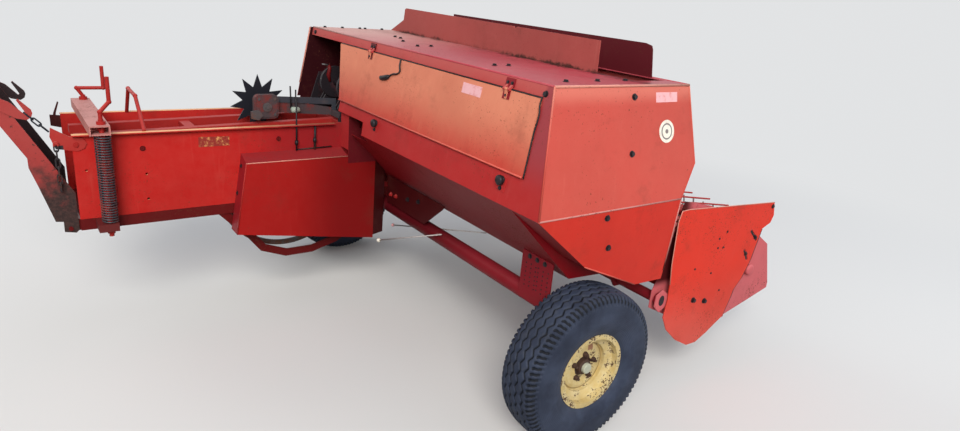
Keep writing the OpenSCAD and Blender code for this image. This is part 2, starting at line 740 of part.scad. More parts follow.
stub_z = tyre_d / 2;
stub_r = 20;
drop_t = 20;
hub_len = 70;
right_drop = [-wheel_right_y + tyre_w / 2 + 70, -wheel_right_y + tyre_w / 2 + 90];
left_drop = [wheel_left_y - tyre_w / 2 - 34, wheel_left_y - tyre_w / 2 - 14];
axle_x = -20;

module drop_plate(y) {
    along_y(y[0], y[1]) polygon([[axle_x - 55, axle_z + 45], [axle_x + 55, axle_z + 45],
        [45, stub_z - 35], [-45, stub_z - 35]]);
}

module axle() color("firebrick") {
    rod_y(axle_x, axle_z, right_drop[1], left_drop[0], axle_d / 2);
    drop_plate(right_drop);
    drop_plate(left_drop);
    rod_y(0, stub_z, -wheel_right_y - 20, right_drop[0], stub_r);
    rod_y(0, stub_z, left_drop[1], wheel_left_y + 20, stub_r);
    // Saddles below the frame rails
    for (s = [-1, 1]) span([axle_x - 45, s * (half_w - frame_w / 2) - 24, axle_z],
        [axle_x + 45, s * (half_w - frame_w / 2) + 24, frame_low]);
    // Bracket plate up to the feed trough
    difference() {
        span([-66, -1800, axle_z - 10], [-60, -1600, trough_back(-60) - 0.2]);
        for (y = [-1650, -1700, -1750]) rod_x(y, trough_back(-60) - 16, -70, -58, 7, 24);
    }
}

bead_r = rim_d / 2 - 16;
rim_t = 5;
rim_w = tyre_w * 0.8;

// Half section of the tyre, from the bead out to the crown, on one side of its centre
module tyre_section() {
    h = tyre_w / 2;
    r = tyre_d / 2;
    b = rim_w / 2 - rim_t;
    polygon([[bead_r + seat, -b + seat], [rim_d / 2 + 2, -b + seat], [rim_d / 2 + 6, -b - 3],
        [bead_r + 50, -h + 6], [bead_r + 82, -h],
        [r - 60, -h + 4], [r - 22, -h + 14], [r - 8, -h + 24], [r - 2, -h * 0.45], [r, -20],
        [r, 20], [r - 2, h * 0.45], [r - 8, h - 24], [r - 22, h - 14], [r - 60, h - 4],
        [bead_r + 82, h], [bead_r + 50, h - 6], [rim_d / 2 + 6, b + 3], [rim_d / 2 + 2, b - seat],
        [bead_r + seat, b - seat],
        [bead_r + seat, b - 22], [bead_r + 30, b - 8], [bead_r + 70, h - 16], [r - 50, h - 20],
        [r - 26, h - 36], [r - 20, 0], [r - 26, -h + 36], [r - 50, -h + 20], [bead_r + 70, -h + 16],
        [bead_r + 30, -b + 8], [bead_r + seat, -b + 22]]);
}

module turned(y) { translate([0, y, stub_z]) rotate([-90, 0, 0]) rotate_extrude($fn = 96) children(); }

module tyre(y) color([0.1, 0.1, 0.12]) turned(y) tyre_section();

well_r = bead_r - 34;
disc_in = 62;

// Rim section with a drop centre; out is the side that the disc is seen from
module rim(y, out) color("khaki") translate([0, y, stub_z]) rotate([out * 90, 0, 0]) difference() {
    rotate_extrude($fn = 96) {
        w = rim_w / 2;
        // Ring from the inner flange to the outer one, then the disc on its inner side
        polygon([[rim_d / 2, -w], [rim_d / 2, -w + rim_t], [bead_r, -w + rim_t], [bead_r, -w + 32],
            [well_r, -w + 46], [well_r, w - 46], [bead_r, w - 32], [bead_r, w - rim_t],
            [rim_d / 2, w - rim_t], [rim_d / 2, w], [bead_r - rim_t, w], [bead_r - rim_t, w - 30],
            [well_r - rim_t, w - 44], [well_r - rim_t, w - disc_in], [92, w - disc_in + 8],
            [47, w - disc_in + 8], [47, w - disc_in], [90, w - disc_in], [well_r - rim_t, w - disc_in - 8],
            [well_r - rim_t, -w + 44], [bead_r - rim_t, -w + 30], [bead_r - rim_t, -w]]);
    }
    for (i = [0:4]) rotate([0, 0, 90 + 72 * i]) translate([57.5, 0, -tyre_w])
        cylinder(r = 8, h = 2 * tyre_w, $fn = 24);
}

// Hub with a flange behind the disc and a grease cap
module hub(y, out) color("gray") translate([0, y, stub_z]) rotate([out * 90, 0, 0]) difference() {
    w = rim_w / 2 - disc_in;
    union() {
        translate([0, 0, w - 12]) cylinder(r = 74, h = 12, $fn = fine);
        translate([0, 0, w - 62]) cylinder(r = 38, h = 110, $fn = fine);
        translate([0, 0, w + 40]) cylinder(r = 26, h = 22, $fn = fine);
        for (i = [0:4]) rotate([0, 0, 90 + 72 * i]) translate([57.5, 0, w - 6]) {
            cylinder(r = 7, h = 30, $fn = 24);
            translate([0, 0, 14]) cylinder(r = 13, h = 10, $fn = 6);
        }
    }
    translate([0, 0, w - 70]) cylinder(r = stub_r + fit_gap, h = 112, $fn = fine);
}

/* Pickup */

side_pts = [[564, 903], [578, 951], [628, 953], [1327, 906], [1345, 905], [1368, 832], [1352, 792], [1315, 778],
    [1283, 766], [1240, 592], [1192, 498], [1143, 445], [1131, 397], [1094, 302], [970, 231], [897, 198],
    [823, 200], [720, 256], [629, 335], [586, 410], [597, 503], [590, 583], [575, 689]];
pickup_pivot = [562, 502];
pivot_tube_r = 25;

module pickup_side_plate() color("orangered") difference() {
    along_y(-plate_y, -plate_y + sheet_t) polygon(side_pts);
    // Adjusting slots
    for (s = [[1188, 767, 1254, 709], [1164, 663, 1205, 607]]) hull() {
        rod_y(s[0], s[1], -plate_y - 1, -plate_y + 5, 8, 24);
        rod_y(s[2], s[3], -plate_y - 1, -plate_y + 5, 8, 24);
    }
}

inner_y = plate_y - 40;
reel_shaft_r = 25;
guard_pivot = [760, 880];
guard_shaft_r = 14;

module pickup_hanger() color("firebrick") {
    p = pickup_pivot;
    // Pivot tube of the pickup with its end nut
    difference() {
        union() {
            rod_y(p[0], p[1], -inner_y - 26, -half_w, pivot_tube_r);
            rod_y(p[0], p[1], -inner_y - 26, -inner_y - 12, 42, 6);
        }
        rod_y(p[0], p[1], -inner_y - 27, -inner_y + 60, pivot_tube_r - 7);
    }
    // Hangers from the feed trough's front edge, and one from the frame rail
    for (y = [-1640, -700]) along_y(y, y + 12) polygon([[400, trough_fore(400) - fit_gap], [462, feed_low - fit_gap],
        [p[0] + 40, p[1] + 8], [p[0] + 28, p[1] - 34], [p[0] - 28, p[1] - 34]]);
    along_y(-half_w, -half_w + frame_w) polygon([[p[0] - 60, frame_low], [p[0] + 60, frame_low],
        [p[0] + 34, p[1] - 30], [p[0] - 34, p[1] - 30]]);
}

// Plate at each end of the reel, with an ear for the wind guard
end_pts = [[1351, 701], [1448, 641], [1549, 391], [1550, 359], [1332, 310], [1157, 272], [1000, 262], [905, 232],
    [800, 262], [640, 400], [518, 462], [518, 546], [590, 740], [628, 930], [642, 978], [852, 932], [1180, 790]];

module reel_end(y0, y1) {
    along_y(y0, y1) difference() {
        polygon(end_pts);
        translate([reel_x, reel_z]) circle(r = reel_shaft_r + fit_gap, $fn = fine);
        translate(guard_pivot) circle(r = guard_shaft_r + fit_gap, $fn = fine);
        translate(pickup_pivot) circle(r = pivot_tube_r + fit_gap, $fn = fine);
    }
}

module pickup_inner_plate() color("indianred") reel_end(-inner_y, -inner_y + sheet_t);
module pickup_left_plate() color("orangered") reel_end(-pickup_left_y - sheet_t, -pickup_left_y);

module pickup_frame() color("firebrick") {
    right = -inner_y + sheet_t;
    left = -pickup_left_y - sheet_t;
    // Rear beam and the deck behind the reel
    z = [530, 590];
    span([640, right, z[0]], [700, left, z[1]]);
    along_y(right, left) polygon(strip([[512, 700], [700, 720], [900, 716]], sheet_t));
    for (y = [right, (right + left) / 2, left - 10]) span([660, y, z[1]], [680, y + 10, 719]);
    // Spacers out to the side plate
    for (p = [[700, 860], [792, 464], [1120, 600]])
        rod_y(p[0], p[1], -plate_y + sheet_t, -inner_y, 14);
}

band_n = floor((inner_y - pickup_left_y - 2 * sheet_t - 30) / band_pitch);
band_t = 4;
deck_edge = [902, 711];
band_y0 = -(inner_y + pickup_left_y) / 2 - band_pitch * (band_n - 1) / 2;

// One stripper band: back over the deck, round the reel and down to its bar
band_low = -118;
band_arc = [for (a = [80:-9:band_low]) [reel_x, reel_z] + (band_r - band_t) * [cos(a), sin(a)]];
band_end = [reel_x, reel_z] + (tine_r + 22) * [cos(band_low), sin(band_low)];

module pickup_bands() color("firebrick") {
    for (i = [0:band_n - 1]) translate([0, band_y0 + i * band_pitch, 0])
        along_y(-band_w / 2, band_w / 2) polygon(strip(concat([deck_edge], band_arc, [band_end]), band_t));
    // Bar that carries the lower ends, outside the circle of the tines
    span(p2(band_end - [12, 8], -inner_y + sheet_t), p2(band_end + [12, 12], -pickup_left_y - sheet_t));
}

tine_bars = 4;

module tine_reel() color("gray") {
    rod_y(reel_x, reel_z, -inner_y - 20, -pickup_left_y + 20, reel_shaft_r);
    for (b = [0:tine_bars - 1]) translate([reel_x, 0, reel_z]) rotate([0, b * 360 / tine_bars + 20, 0]) {
        rod_y(0, 150, -inner_y + 12, -pickup_left_y - 12, 16, 12);
        for (i = [0:band_n]) translate([0, band_y0 + (i - 0.5) * band_pitch, 0])
            rotate([90, 0, 0]) linear_extrude(6, center = true) polygon([
                [-3, 150], [3, 150], [5, 225], [-22, tine_r - 4], [-27, tine_r - 8], [-3, 224]]);
    }
    // Spiders that carry the tine bars
    for (y = [-inner_y + 30, -1150, -pickup_left_y - 40]) for (b = [0:tine_bars - 1])
        translate([reel_x, 0, reel_z]) rotate([0, b * 360 / tine_bars + 20, 0])
            span([-14, y, 0], [14, y + 8, 150]);
}

module wind_guard() color("firebrick") {
    y = [-inner_y - 6, -pickup_left_y + 6];
    knee = [reel_x - 70, reel_z + tine_r + 23];
    tip = [reel_x + 160, reel_z + tine_r - 15];
    rod_y(guard_pivot[0], guard_pivot[1], y[0], y[1], guard_shaft_r);
    for (i = [1:1:10]) {
        yy = y[0] + 40 + i * (y[1] - y[0] - 80) / 11;
        bar([guard_pivot[0], yy, guard_pivot[1]], [knee[0], yy, knee[1]], 5, 8);
        bar([knee[0], yy, knee[1]], [tip[0], yy, tip[1]], 5, 8);
    }
}

/* Drive, plunger and drawbar */

gear_x = [chamber_front, chamber_front + 190];

module gearbox() color("dimgray") difference() {
    union() {
        span([gear_x[0], -half_w, chamber_low], [gear_x[1], half_w, chamber_low + 20]);
        span([gear_x[0], -130, chamber_low + 20], [gear_x[1] - 20, 130, fly_z + 150]);
        rod_x(0, fly_z, gear_x[1] - 20, gear_x[1], 80);
    }
    rod_x(0, fly_z, gear_x[1] - 60, gear_x[1] + 1, 30 + fit_gap);
}

module flywheel() color("dimgray") {
    x0 = gear_x[1] + 30;
    difference() {
        union() {
            rod_x(0, fly_z, x0, x0 + fly_w, fly_r, 96);
            rod_x(0, fly_z, gear_x[1] + 0.5, x0 + fly_w + 30, 60);
        }
        difference() {
            rod_x(0, fly_z, x0 - 1, x0 + 40, fly_r - 45, 96);
            rod_x(0, fly_z, x0 - 2, x0 + 41, 60);
        }
        difference() {
            rod_x(0, fly_z, x0 + 55, x0 + fly_w + 1, fly_r - 45, 96);
            rod_x(0, fly_z, x0 + 54, x0 + fly_w + 31, 60);
        }
        for (i = [0:5]) translate([x0, 0, fly_z]) rotate([60 * i, 0, 0]) translate([0, 0, 155])
            rotate([0, 90, 0]) cylinder(r = 42, h = fly_w, $fn = fine);
    }
    rod_x(0, fly_z, gear_x[1] - 58, gear_x[1] + 1, 30);
    // Shaft stub for the drive shaft
    rod_x(0, fly_z, x0 + fly_w + 30, x0 + fly_w + 120, 17.5);
}

module plunger() color("dimgray") {
    inner = half_w - wall_t;
    z = [chamber_low + wall_t + 20, chamber_top - wall_t - 20];
    difference() {
        span([440, -inner + 8, z[0]], [470, inner - 8, z[1]]);
        for (y = [-needle_y, needle_y]) span([439, y - 16, z[0] - 1], [471, y + 16, z[1] - 60]);
    }
    for (y = [-inner + 30, inner - 70]) span([470, y, z[0] - 20], [980, y + 40, z[0] + 60]);
    span([470, -inner + 70, z[0] + 40], [560, inner - 70, z[1] - 40]);
}

bracket_low = drawbar_z - 62;

module drawbar_bracket() color("firebrick") {
    span([drawbar_x - 130, -half_w, frame_low - 14], [drawbar_x + 80, half_w, frame_low]);
    span([drawbar_x - 130, drawbar_y - 80, bracket_low - 14], [drawbar_x + 60, drawbar_y + 80, bracket_low]);
    span([drawbar_x - 130, drawbar_y - 80, bracket_low], [drawbar_x - 110, drawbar_y + 80, frame_low - 14]);
    rod_z(drawbar_x, drawbar_y, bracket_low - 1, frame_low - 13, pivot_r);
}

beam_top = drawbar_z + 50;
jack_x = drawbar_x + drawbar_l - 380;
jack_y = drawbar_y + 60 + 46;

post_r = 50;

module drawbar_pivot() color("firebrick") difference() {
    span([drawbar_x - post_r, drawbar_y - post_r, bracket_low + 0.5],
        [drawbar_x + post_r, drawbar_y + post_r, frame_low - 14.5]);
    rod_z(drawbar_x, drawbar_y, bracket_low - 1, frame_low, pivot_r + fit_gap);
}

module drawbar() color("firebrick") difference() {
    union() {
        span([drawbar_x + post_r, drawbar_y - 60, drawbar_z - 50], [hitch_x - 240, drawbar_y + 60, beam_top]);
        along_y(drawbar_y - 14, drawbar_y + 14) polygon([
            [hitch_x - 300, drawbar_z - 40], [hitch_x - 300, drawbar_z + 40],
            [hitch_x - 60, drawbar_z + 15], [hitch_x - 60, drawbar_z - 15]]);
        rod_z(hitch_x, drawbar_y, drawbar_z - 15, drawbar_z + 15, eye_r);
        span([hitch_x - 120, drawbar_y - 30, drawbar_z - 15], [hitch_x - 20, drawbar_y + 30, drawbar_z + 15]);
    }
    rod_z(hitch_x, drawbar_y, drawbar_z - 30, drawbar_z + 30, hitch_r);
}

module jack_tube() color("firebrick") difference() {
    union() {
        rod_z(jack_x, jack_y, drawbar_z - 120, beam_top + 240, jack_r + 8);
        span([jack_x - 50, drawbar_y + 60, drawbar_z - 50], [jack_x + 50, jack_y, beam_top]);
    }
    rod_z(jack_x, jack_y, drawbar_z - 130, beam_top + 250, jack_r + fit_gap);
}

module jack_leg() color("gray") {
    rod_z(jack_x, jack_y, 12, beam_top + 180, jack_r);
    rod_z(jack_x, jack_y, 0, 12, 85);
}

/* Bale chute */

// Outlines given along the folded chute and across it
foot_pts = [[chute_l, chute_bar[0]], [chute_l, chute_bar[1]], [134, 111], [-25, 25], [-31, 7], [0, -29.5],
    [43.6, -5], [62, -30], [241, 11], [328, 29], [373, chute_bar[0]]];
hook_pts = [[640, 112], [601, 137], [590, 140], [534, 153], [536, 160], [597, 162], [600, 170], [538, 185],
    [523, 181], [510, 167], [508, 147], [533, 118], [587, 87], [640, 70]];
chute_sheet = 4;

module bale_chute() color("firebrick") {
    p = chute_pivot;
    for (y = [-chute_side_y - chute_t, chute_side_y]) difference() {
        along_y(y, y + chute_t) polygon([for (q = foot_pts) on_chute(q)]);
        rod_y(p[0], p[1], y - 1, y + chute_t + 1, chute_pin_r + fit_gap);
    }
    // Sheet between the two bars
    along_y(-chute_side_y, chute_side_y) polygon([for (q = [[36, -chute_sheet], [chute_l - 20, -chute_sheet],
        [chute_l - 20, 0], [36, 0]]) on_chute(q + [0, chute_bar[0]])]);
    // Hooks for the chains
    for (y = [-chute_side_y - 2 * chute_t, chute_side_y + chute_t])
        along_y(y, y + chute_t) polygon([for (q = hook_pts) on_chute(q)]);
}

// Links from the hook's slot towards the ear
chain_n = 3;
chain_from = on_chute([540, 155.8]);
chain_to = [-chamber_rear - 78.5, 1058];
chain_y = -chute_side_y - 1.5 * chute_t;

module chute_chain() color("black") {
    run = chain_to - chain_from;
    translate([chain_from[0], chain_y, chain_from[1]]) rotate([0, -atan2(run[1], run[0]), 0])
        for (i = [0:chain_n - 1]) translate([(link_l - link_w) / 2 + link_pitch * i, 0, 0]) chain_link(i % 2 == 1);
}

/* Assembly */

placed() chamber_wall_right();
placed() chamber_wall_left();
placed() chamber_floor();
placed() chamber_roof();
placed() tension_rails();
placed() density_beams();
placed() density_springs();
placed() density_cranks();
placed() grab_hoop();
placed() wall_ears();
placed() needle_guard();
placed() needle_yoke();
placed() drive_guard();
placed() neck_guard();
placed() knotters();
placed() hood_top();
placed() hood_rear();
placed() hood_front();
placed() hood_end_panel();
placed() hood_far_plate();
placed() hood_guards();
placed() side_skirt();
placed() feed_trough();
placed() feeder_carriage();
placed() axle();
placed() gearbox();
placed() plunger();
placed() drawbar_bracket();
placed() star_bracket();
placed() pickup_hanger();
placed() feeder_door();
placed() tyre(-wheel_right_y);  // tyre_right
placed() rim(-wheel_right_y, 1);  // rim_right
placed() hub(-wheel_right_y, 1);  // hub_right
placed() tyre(wheel_left_y);  // tyre_left
placed() rim(wheel_left_y, -1);  // rim_left
placed() hub(wheel_left_y, -1);  // hub_left
placed() pickup_side_plate();
placed() pickup_inner_plate();
placed() pickup_left_plate();
placed() pickup_frame();
placed() pickup_bands();
placed() tine_reel();
placed() wind_guard();
placed() bale_chute();
placed() chute_chain();
placed() star_wheel();
placed() flywheel();
placed() drawbar_pivot();
placed() drawbar();
placed() jack_tube();
placed() jack_leg();
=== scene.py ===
# %% [markdown]
# # Dressing a square baler
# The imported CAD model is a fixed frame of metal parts. This notebook gives each
# part its finish and adds what the CAD leaves out: tyre tread, coil springs,
# bolts, latches, rods and labels. Every piece is made in metres, in the frame's
# own coordinates, and its object stays at the origin.

import math

import bpy
import numpy as np
from mathutils import Matrix, Vector


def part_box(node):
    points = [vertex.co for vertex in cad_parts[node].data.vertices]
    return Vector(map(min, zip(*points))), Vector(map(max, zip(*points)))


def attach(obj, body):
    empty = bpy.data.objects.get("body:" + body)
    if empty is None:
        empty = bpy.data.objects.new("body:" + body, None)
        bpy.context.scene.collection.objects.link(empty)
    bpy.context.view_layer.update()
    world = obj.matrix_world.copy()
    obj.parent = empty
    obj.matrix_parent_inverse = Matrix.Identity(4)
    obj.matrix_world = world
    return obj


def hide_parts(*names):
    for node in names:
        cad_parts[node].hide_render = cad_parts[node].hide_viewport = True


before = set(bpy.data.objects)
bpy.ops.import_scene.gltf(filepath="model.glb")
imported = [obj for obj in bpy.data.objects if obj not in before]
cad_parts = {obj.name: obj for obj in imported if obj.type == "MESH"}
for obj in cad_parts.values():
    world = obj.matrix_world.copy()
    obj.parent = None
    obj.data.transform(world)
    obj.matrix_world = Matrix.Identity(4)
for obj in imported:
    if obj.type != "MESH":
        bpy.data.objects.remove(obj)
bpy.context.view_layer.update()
print("CAD nodes:", len(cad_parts))

# %% [markdown]
# ## One set of coordinates
# The drawings of the machine count from the axle line, the middle of the bale
# chamber and the ground, in millimetres. The frame counts from the middle of
# the footprint. The right tyre sits on the axle line, 1955 mm from the chamber,
# so its box gives the shift between the two. The faces that small pieces stand
# on are named here as well, with the values that they have in the drawings.

# %% Machine coordinates
WHEEL_RIGHT_Y, WHEEL_LEFT_Y = -1955, 470
TYRE_R = 355
HOOD_TOP, HOOD_LOW = 1515, 1045
HOOD_REAR_X, HOOD_REAR_LEAN = -260, 93
HOOD_END_Y, HOOD_END_LEAN = -1885, 105
WALL_Y = -240
PLATE_Y = -1920

tyre_low, tyre_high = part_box("tyre_right")
shift = Vector(((tyre_low.x + tyre_high.x) / 2, (tyre_low.y + tyre_high.y) / 2 - WHEEL_RIGHT_Y / 1000, 0))


def at(x, y, z):
    """A point of the machine, in millimetres, as a point of the frame."""
    return Vector((x, y, z)) / 1000 + shift


print("shift of the frame:", [round(c, 4) for c in shift])

# %% [markdown]
# ## Camera
# The camera stands where the photographer stood, found by laying the model's
# edges over the picture: behind and to the right of the machine, a little above
# its hood, and tilted a few degrees. Its three axes are worked out from those
# angles and written into its matrix, which leaves no doubt about their order.

# %% Camera
VIEW_AZIMUTH, VIEW_HEIGHT, VIEW_ROLL = (math.radians(a) for a in (-37.298, 18.907, 5.27))
CAMERA_PLACE = (-1873, -3636, 1819)
PHOTO_WIDTH = 960
FOCAL_PIXELS = 659.94
SENSOR = 36

looking = -Vector((math.sin(VIEW_AZIMUTH) * math.cos(VIEW_HEIGHT),
                   -math.cos(VIEW_AZIMUTH) * math.cos(VIEW_HEIGHT), math.sin(VIEW_HEIGHT)))
level = looking.cross(Vector((0, 0, 1))).normalized()
above = level.cross(looking)
across = math.cos(VIEW_ROLL) * level + math.sin(VIEW_ROLL) * above
upward = math.cos(VIEW_ROLL) * above - math.sin(VIEW_ROLL) * level

lens = bpy.data.cameras.new("camera")
lens.sensor_width = SENSOR
lens.lens = FOCAL_PIXELS * SENSOR / PHOTO_WIDTH
camera = bpy.data.objects.new("camera", lens)
bpy.context.collection.objects.link(camera)
axes = Matrix((across, upward, -looking)).transposed().to_4x4()
camera.matrix_world = Matrix.Translation(at(*CAMERA_PLACE)) @ axes
bpy.context.scene.camera = camera
print("lens:", round(lens.lens, 2), "mm")

# %% [markdown]
# ## Light
# The light is one large soft panel over the camera's left shoulder, a weaker
# one from the other side and a third from behind, which lines the edges. Large
# panels give the soft shadows of an overcast yard.

# %% Light
bpy.context.scene.view_settings.view_transform = "Standard"
LIT_PLACE = (0, -700, 700)
LAMPS = {
    "key": ((-6460, -10010, 7540), 6.8, 1880, (1.0, 0.96, 0.9)),
    "fill": ((8840, -5970, 4950), 8.5, 320, (0.95, 0.97, 1.0)),
    "rim": ((-5760, 8840, 7000), 7.2, 390, (1.0, 0.97, 0.9)),
}


def lamp(name, place, aim, size, power, colour):
    """A square area light that points at a place."""
    light = bpy.data.lights.new(name, "AREA")
    light.shape = "SQUARE"
    light.size = size
    light.energy = power
    light.color = colour
    holder = bpy.data.objects.new(name, light)
    bpy.context.collection.objects.link(holder)
    holder.location = place
    holder.rotation_euler = (aim - place).to_track_quat("-Z", "Y").to_euler()


for name, (place, size, power, colour) in LAMPS.items():
    lamp(name, at(*place), at(*LIT_PLACE), size, power, colour)
print("lamps:", ", ".join(LAMPS))

# %% [markdown]
# ## A shorthand for node trees
# Materials and geometry are both trees of nodes. Written out link by link they
# are hard to read, so a small class wraps a socket and lets Python's own signs
# make the Math nodes: `1 - mask` or `height * 0.3 + grain`. One method, `node`,
# makes any other node from its type, its settings and its inputs.

# %% Node shorthand
def sign(operation, turned=False):
    """One of Python's signs as a Math node; turned is for a plain number before the sign."""
    def method(self, other):
        ends = {0: other, 1: self} if turned else {0: self, 1: other}
        return self.bench.node("ShaderNodeMath", {"operation": operation}, ends)
    return method


class Wire:
    """An output socket that can be used in sums."""

    def __init__(self, bench, socket):
        self.bench, self.socket = bench, socket

    __add__ = sign("ADD")
    __radd__ = sign("ADD", turned=True)
    __sub__ = sign("SUBTRACT")
    __rsub__ = sign("SUBTRACT", turned=True)
    __mul__ = sign("MULTIPLY")
    __rmul__ = sign("MULTIPLY", turned=True)
    __truediv__ = sign("DIVIDE")
    __pow__ = sign("POWER")
    most = sign("MAXIMUM")
    least = sign("MINIMUM")

    def maths(self, operation):
        return self.bench.node("ShaderNodeMath", {"operation": operation}, {0: self})

    def clipped(self):
        return self.bench.node("ShaderNodeClamp", {}, {"Value": self})

    def other(self, name):
        """Another output of the same node."""
        return Wire(self.bench, self.socket.node.outputs[name])


class Bench:
    """A node tree being built."""

    def __init__(self, tree):
        self.tree = tree

    def node(self, kind, settings=None, inputs=None, out=0):
        made = self.tree.nodes.new(kind)
        for key, value in (settings or {}).items():
            setattr(made, key, value)
        for key, value in (inputs or {}).items():
            if isinstance(value, Wire):
                self.tree.links.new(value.socket, made.inputs[key])
            else:
                made.inputs[key].default_value = value
        return Wire(self, made.outputs[out])


# %% [markdown]
# ## Sky
# The machine should be lit as it stood in its yard, with a bright sky above
# and dark ground below, and still be shown on a pale ground. So the sky gives
# one colour to the camera and another to the paint: only the camera's own rays,
# and those that it gets by gloss or through glass, see the pale backdrop.

# %% Sky
BACKDROP = (0.76, 0.77, 0.78)
DAYLIGHT = (0.84, 0.9, 1.0)


def seen_on(bench):
    """1 for rays that show a thing, from the camera or by gloss or glass, and 0 for rays that light one."""
    path = bench.node("ShaderNodeLightPath", out="Is Camera Ray")
    return path.most(path.other("Is Glossy Ray")).most(path.other("Is Transmission Ray"))


world = bpy.data.worlds.new("sky")
bpy.context.scene.world = world
world.use_nodes = True
sky = Bench(world.node_tree)
upness = sky.node("ShaderNodeSeparateXYZ", {}, {0: sky.node("ShaderNodeTexCoord", out="Generated")}, out="Z")
daylight = sky.node("ShaderNodeBackground", {}, {"Color": (*DAYLIGHT, 1), "Strength": upness * 0.1 + 0.42})
backdrop = sky.node("ShaderNodeBackground", {}, {"Color": (*BACKDROP, 1)})
both = sky.node("ShaderNodeMixShader", {}, {0: seen_on(sky), 1: daylight, 2: backdrop})
sky.tree.links.new(both.socket, sky.tree.nodes["World Output"].inputs["Surface"])
print("sky nodes:", len(sky.tree.nodes))

# %% [markdown]
# ## What every finish shares
# All the finishes read Object coordinates, which are metres here, so a noise
# scale of 100 has grains of about a centimetre. Three helpers do the work: soft
# clouds, a threshold that turns a cloud into patches, and a blend of two
# colours.

# %% Finish helpers
class Finish(Bench):
    """A material being mixed."""

    def __init__(self, name):
        self.material = bpy.data.materials.new(name)
        self.material.use_nodes = True
        super().__init__(self.material.node_tree)
        self.shader = self.tree.nodes["Principled BSDF"]
        self.place = self.node("ShaderNodeTexCoord", out="Object")
        parts = self.node("ShaderNodeSeparateXYZ", {}, {0: self.place})
        self.x, self.y, self.z = parts, parts.other("Y"), parts.other("Z")
        facing = self.node("ShaderNodeNewGeometry", out="Normal")
        self.up = self.node("ShaderNodeSeparateXYZ", {}, {0: facing}, out="Z")
        self.aft, self.aside = self.up.other("X"), self.up.other("Y")

    def stretched(self, factors):
        return self.node("ShaderNodeVectorMath", {"operation": "MULTIPLY"}, {0: self.place, 1: factors})

    def cloud(self, scale, detail=3.0, rough=0.55, where=None, seed=0.0):
        return self.node("ShaderNodeTexNoise", {"noise_dimensions": "4D"},
                         {"Vector": where or self.place, "W": seed, "Scale": scale,
                          "Detail": detail, "Roughness": rough}, out="Fac")

    def patches(self, value, low, high):
        return self.node("ShaderNodeMapRange", {"interpolation_type": "SMOOTHSTEP"},
                         {"Value": value, "From Min": low, "From Max": high})

    def blend(self, mask, one, two):
        return self.node("ShaderNodeMix", {"data_type": "RGBA"}, {0: mask, 6: rgba(one), 7: rgba(two)}, out=2)

    def from_axle(self, middle_y):
        """A wheel's centre, and the distance from its axle."""
        centre = at(0, middle_y, TYRE_R)
        return centre, ((self.x - centre.x) ** 2.0 + (self.z - centre.z) ** 2.0) ** 0.5

    def set(self, colour, rough, metal=None, bump=None, depth=0.001, specular=0.4):
        """Connects what varies, and writes what doesn't on the shader itself."""
        if bump is not None:
            bumps = self.node("ShaderNodeBump", {}, {"Height": bump, "Distance": depth, "Strength": 1.0})
            self.link(bumps, "Normal")
        for value, name in ((colour, "Base Color"), (rough, "Roughness"), (metal, "Metallic")):
            if value is not None:
                self.link(value, name)
        self.shader.inputs["Specular IOR Level"].default_value = specular
        return self.material

    def link(self, value, name):
        if isinstance(value, Wire):
            self.tree.links.new(value.socket, self.shader.inputs[name])
        else:
            self.shader.inputs[name].default_value = rgba(value)


def rgba(colour):
    """Adds the fourth number to a plain colour, and leaves a wire or a number alone."""
    return (*colour, 1.0) if isinstance(colour, tuple) and len(colour) == 3 else colour


# %% [markdown]
# ## Zones of a part
# Sun, shade and dirt don't reach a part evenly. A zone is a mask that says where
# another colour lies. Most zones are bounded by a place along one axis of the
# machine, or by the way a face looks, so one function makes them from a list.
# Three zones have ragged shapes of their own.

# %% Zones
def along(axis, mm):
    """A place along one axis of the machine, in the frame's metres."""
    return getattr(at(mm, mm, mm), axis)


def zone(*limits, share=None):
    """A mask from limits: an axis and the two places between which it fades in, in millimetres, or a way
    of facing, up, aft or aside, and its two values."""
    def mask(f):
        product = None
        for axis, low, high in limits:
            if axis in ("x", "y", "z"):
                low, high = along(axis, low), along(axis, high)
            part = f.patches(getattr(f, axis), low, high)
            product = part if product is None else product * part
        return product if share is None else product * share
    return mask


def hood_shade_on_wall(f):
    """Painted shade of the hood on the chamber wall, darkest toward the knotters."""
    ragged = f.x + (f.cloud(6.0, 4.0, 0.6, seed=23.0) - 0.5) * 0.3
    return f.patches(ragged, along("x", -1050), along("x", -450)) * 0.8


def leaf_litter(f):
    """Dirt that gathers on the hood along the foot of the near flap."""
    off = (f.x - along("x", 272)).maths("ABSOLUTE") * 0.8 + (f.z - along("z", HOOD_TOP)) * 3.0
    ragged = off + (f.cloud(26.0, 4.0, 0.7, seed=29.0) - 0.5) * 0.2
    gathered = f.patches(f.cloud(3.0, 3.0, 0.6, seed=31.0), 0.4, 0.58)
    near_end = f.patches(f.y, along("y", 250), along("y", 150))
    return f.patches(ragged, 0.05, 0.0) * (0.25 + gathered * 0.7) * near_end


chain_tail = zone(("x", -1652, -1656), ("z", 1000, 996), ("y", 0, -100))
print("zones ready")

# %% [markdown]
# ## Old red paint
# The machine was painted one red and has faded unevenly. Faces that look at the
# sky have turned a chalky pink, upright faces stayed red, and the undersides
# are painted nearly black, as the shade that falls on them. One recipe covers
# them all: a fresh colour, a faded colour, how far the fading went, and the rust
# specks that break through. The door is palest along its top, partly faded and
# partly painted with sky light, so its paling can also follow the height.

# %% Red paint recipe
RUST = (0.105, 0.036, 0.018)
GRIME = (0.11, 0.035, 0.025)
PAINT_SHINE = 0.13


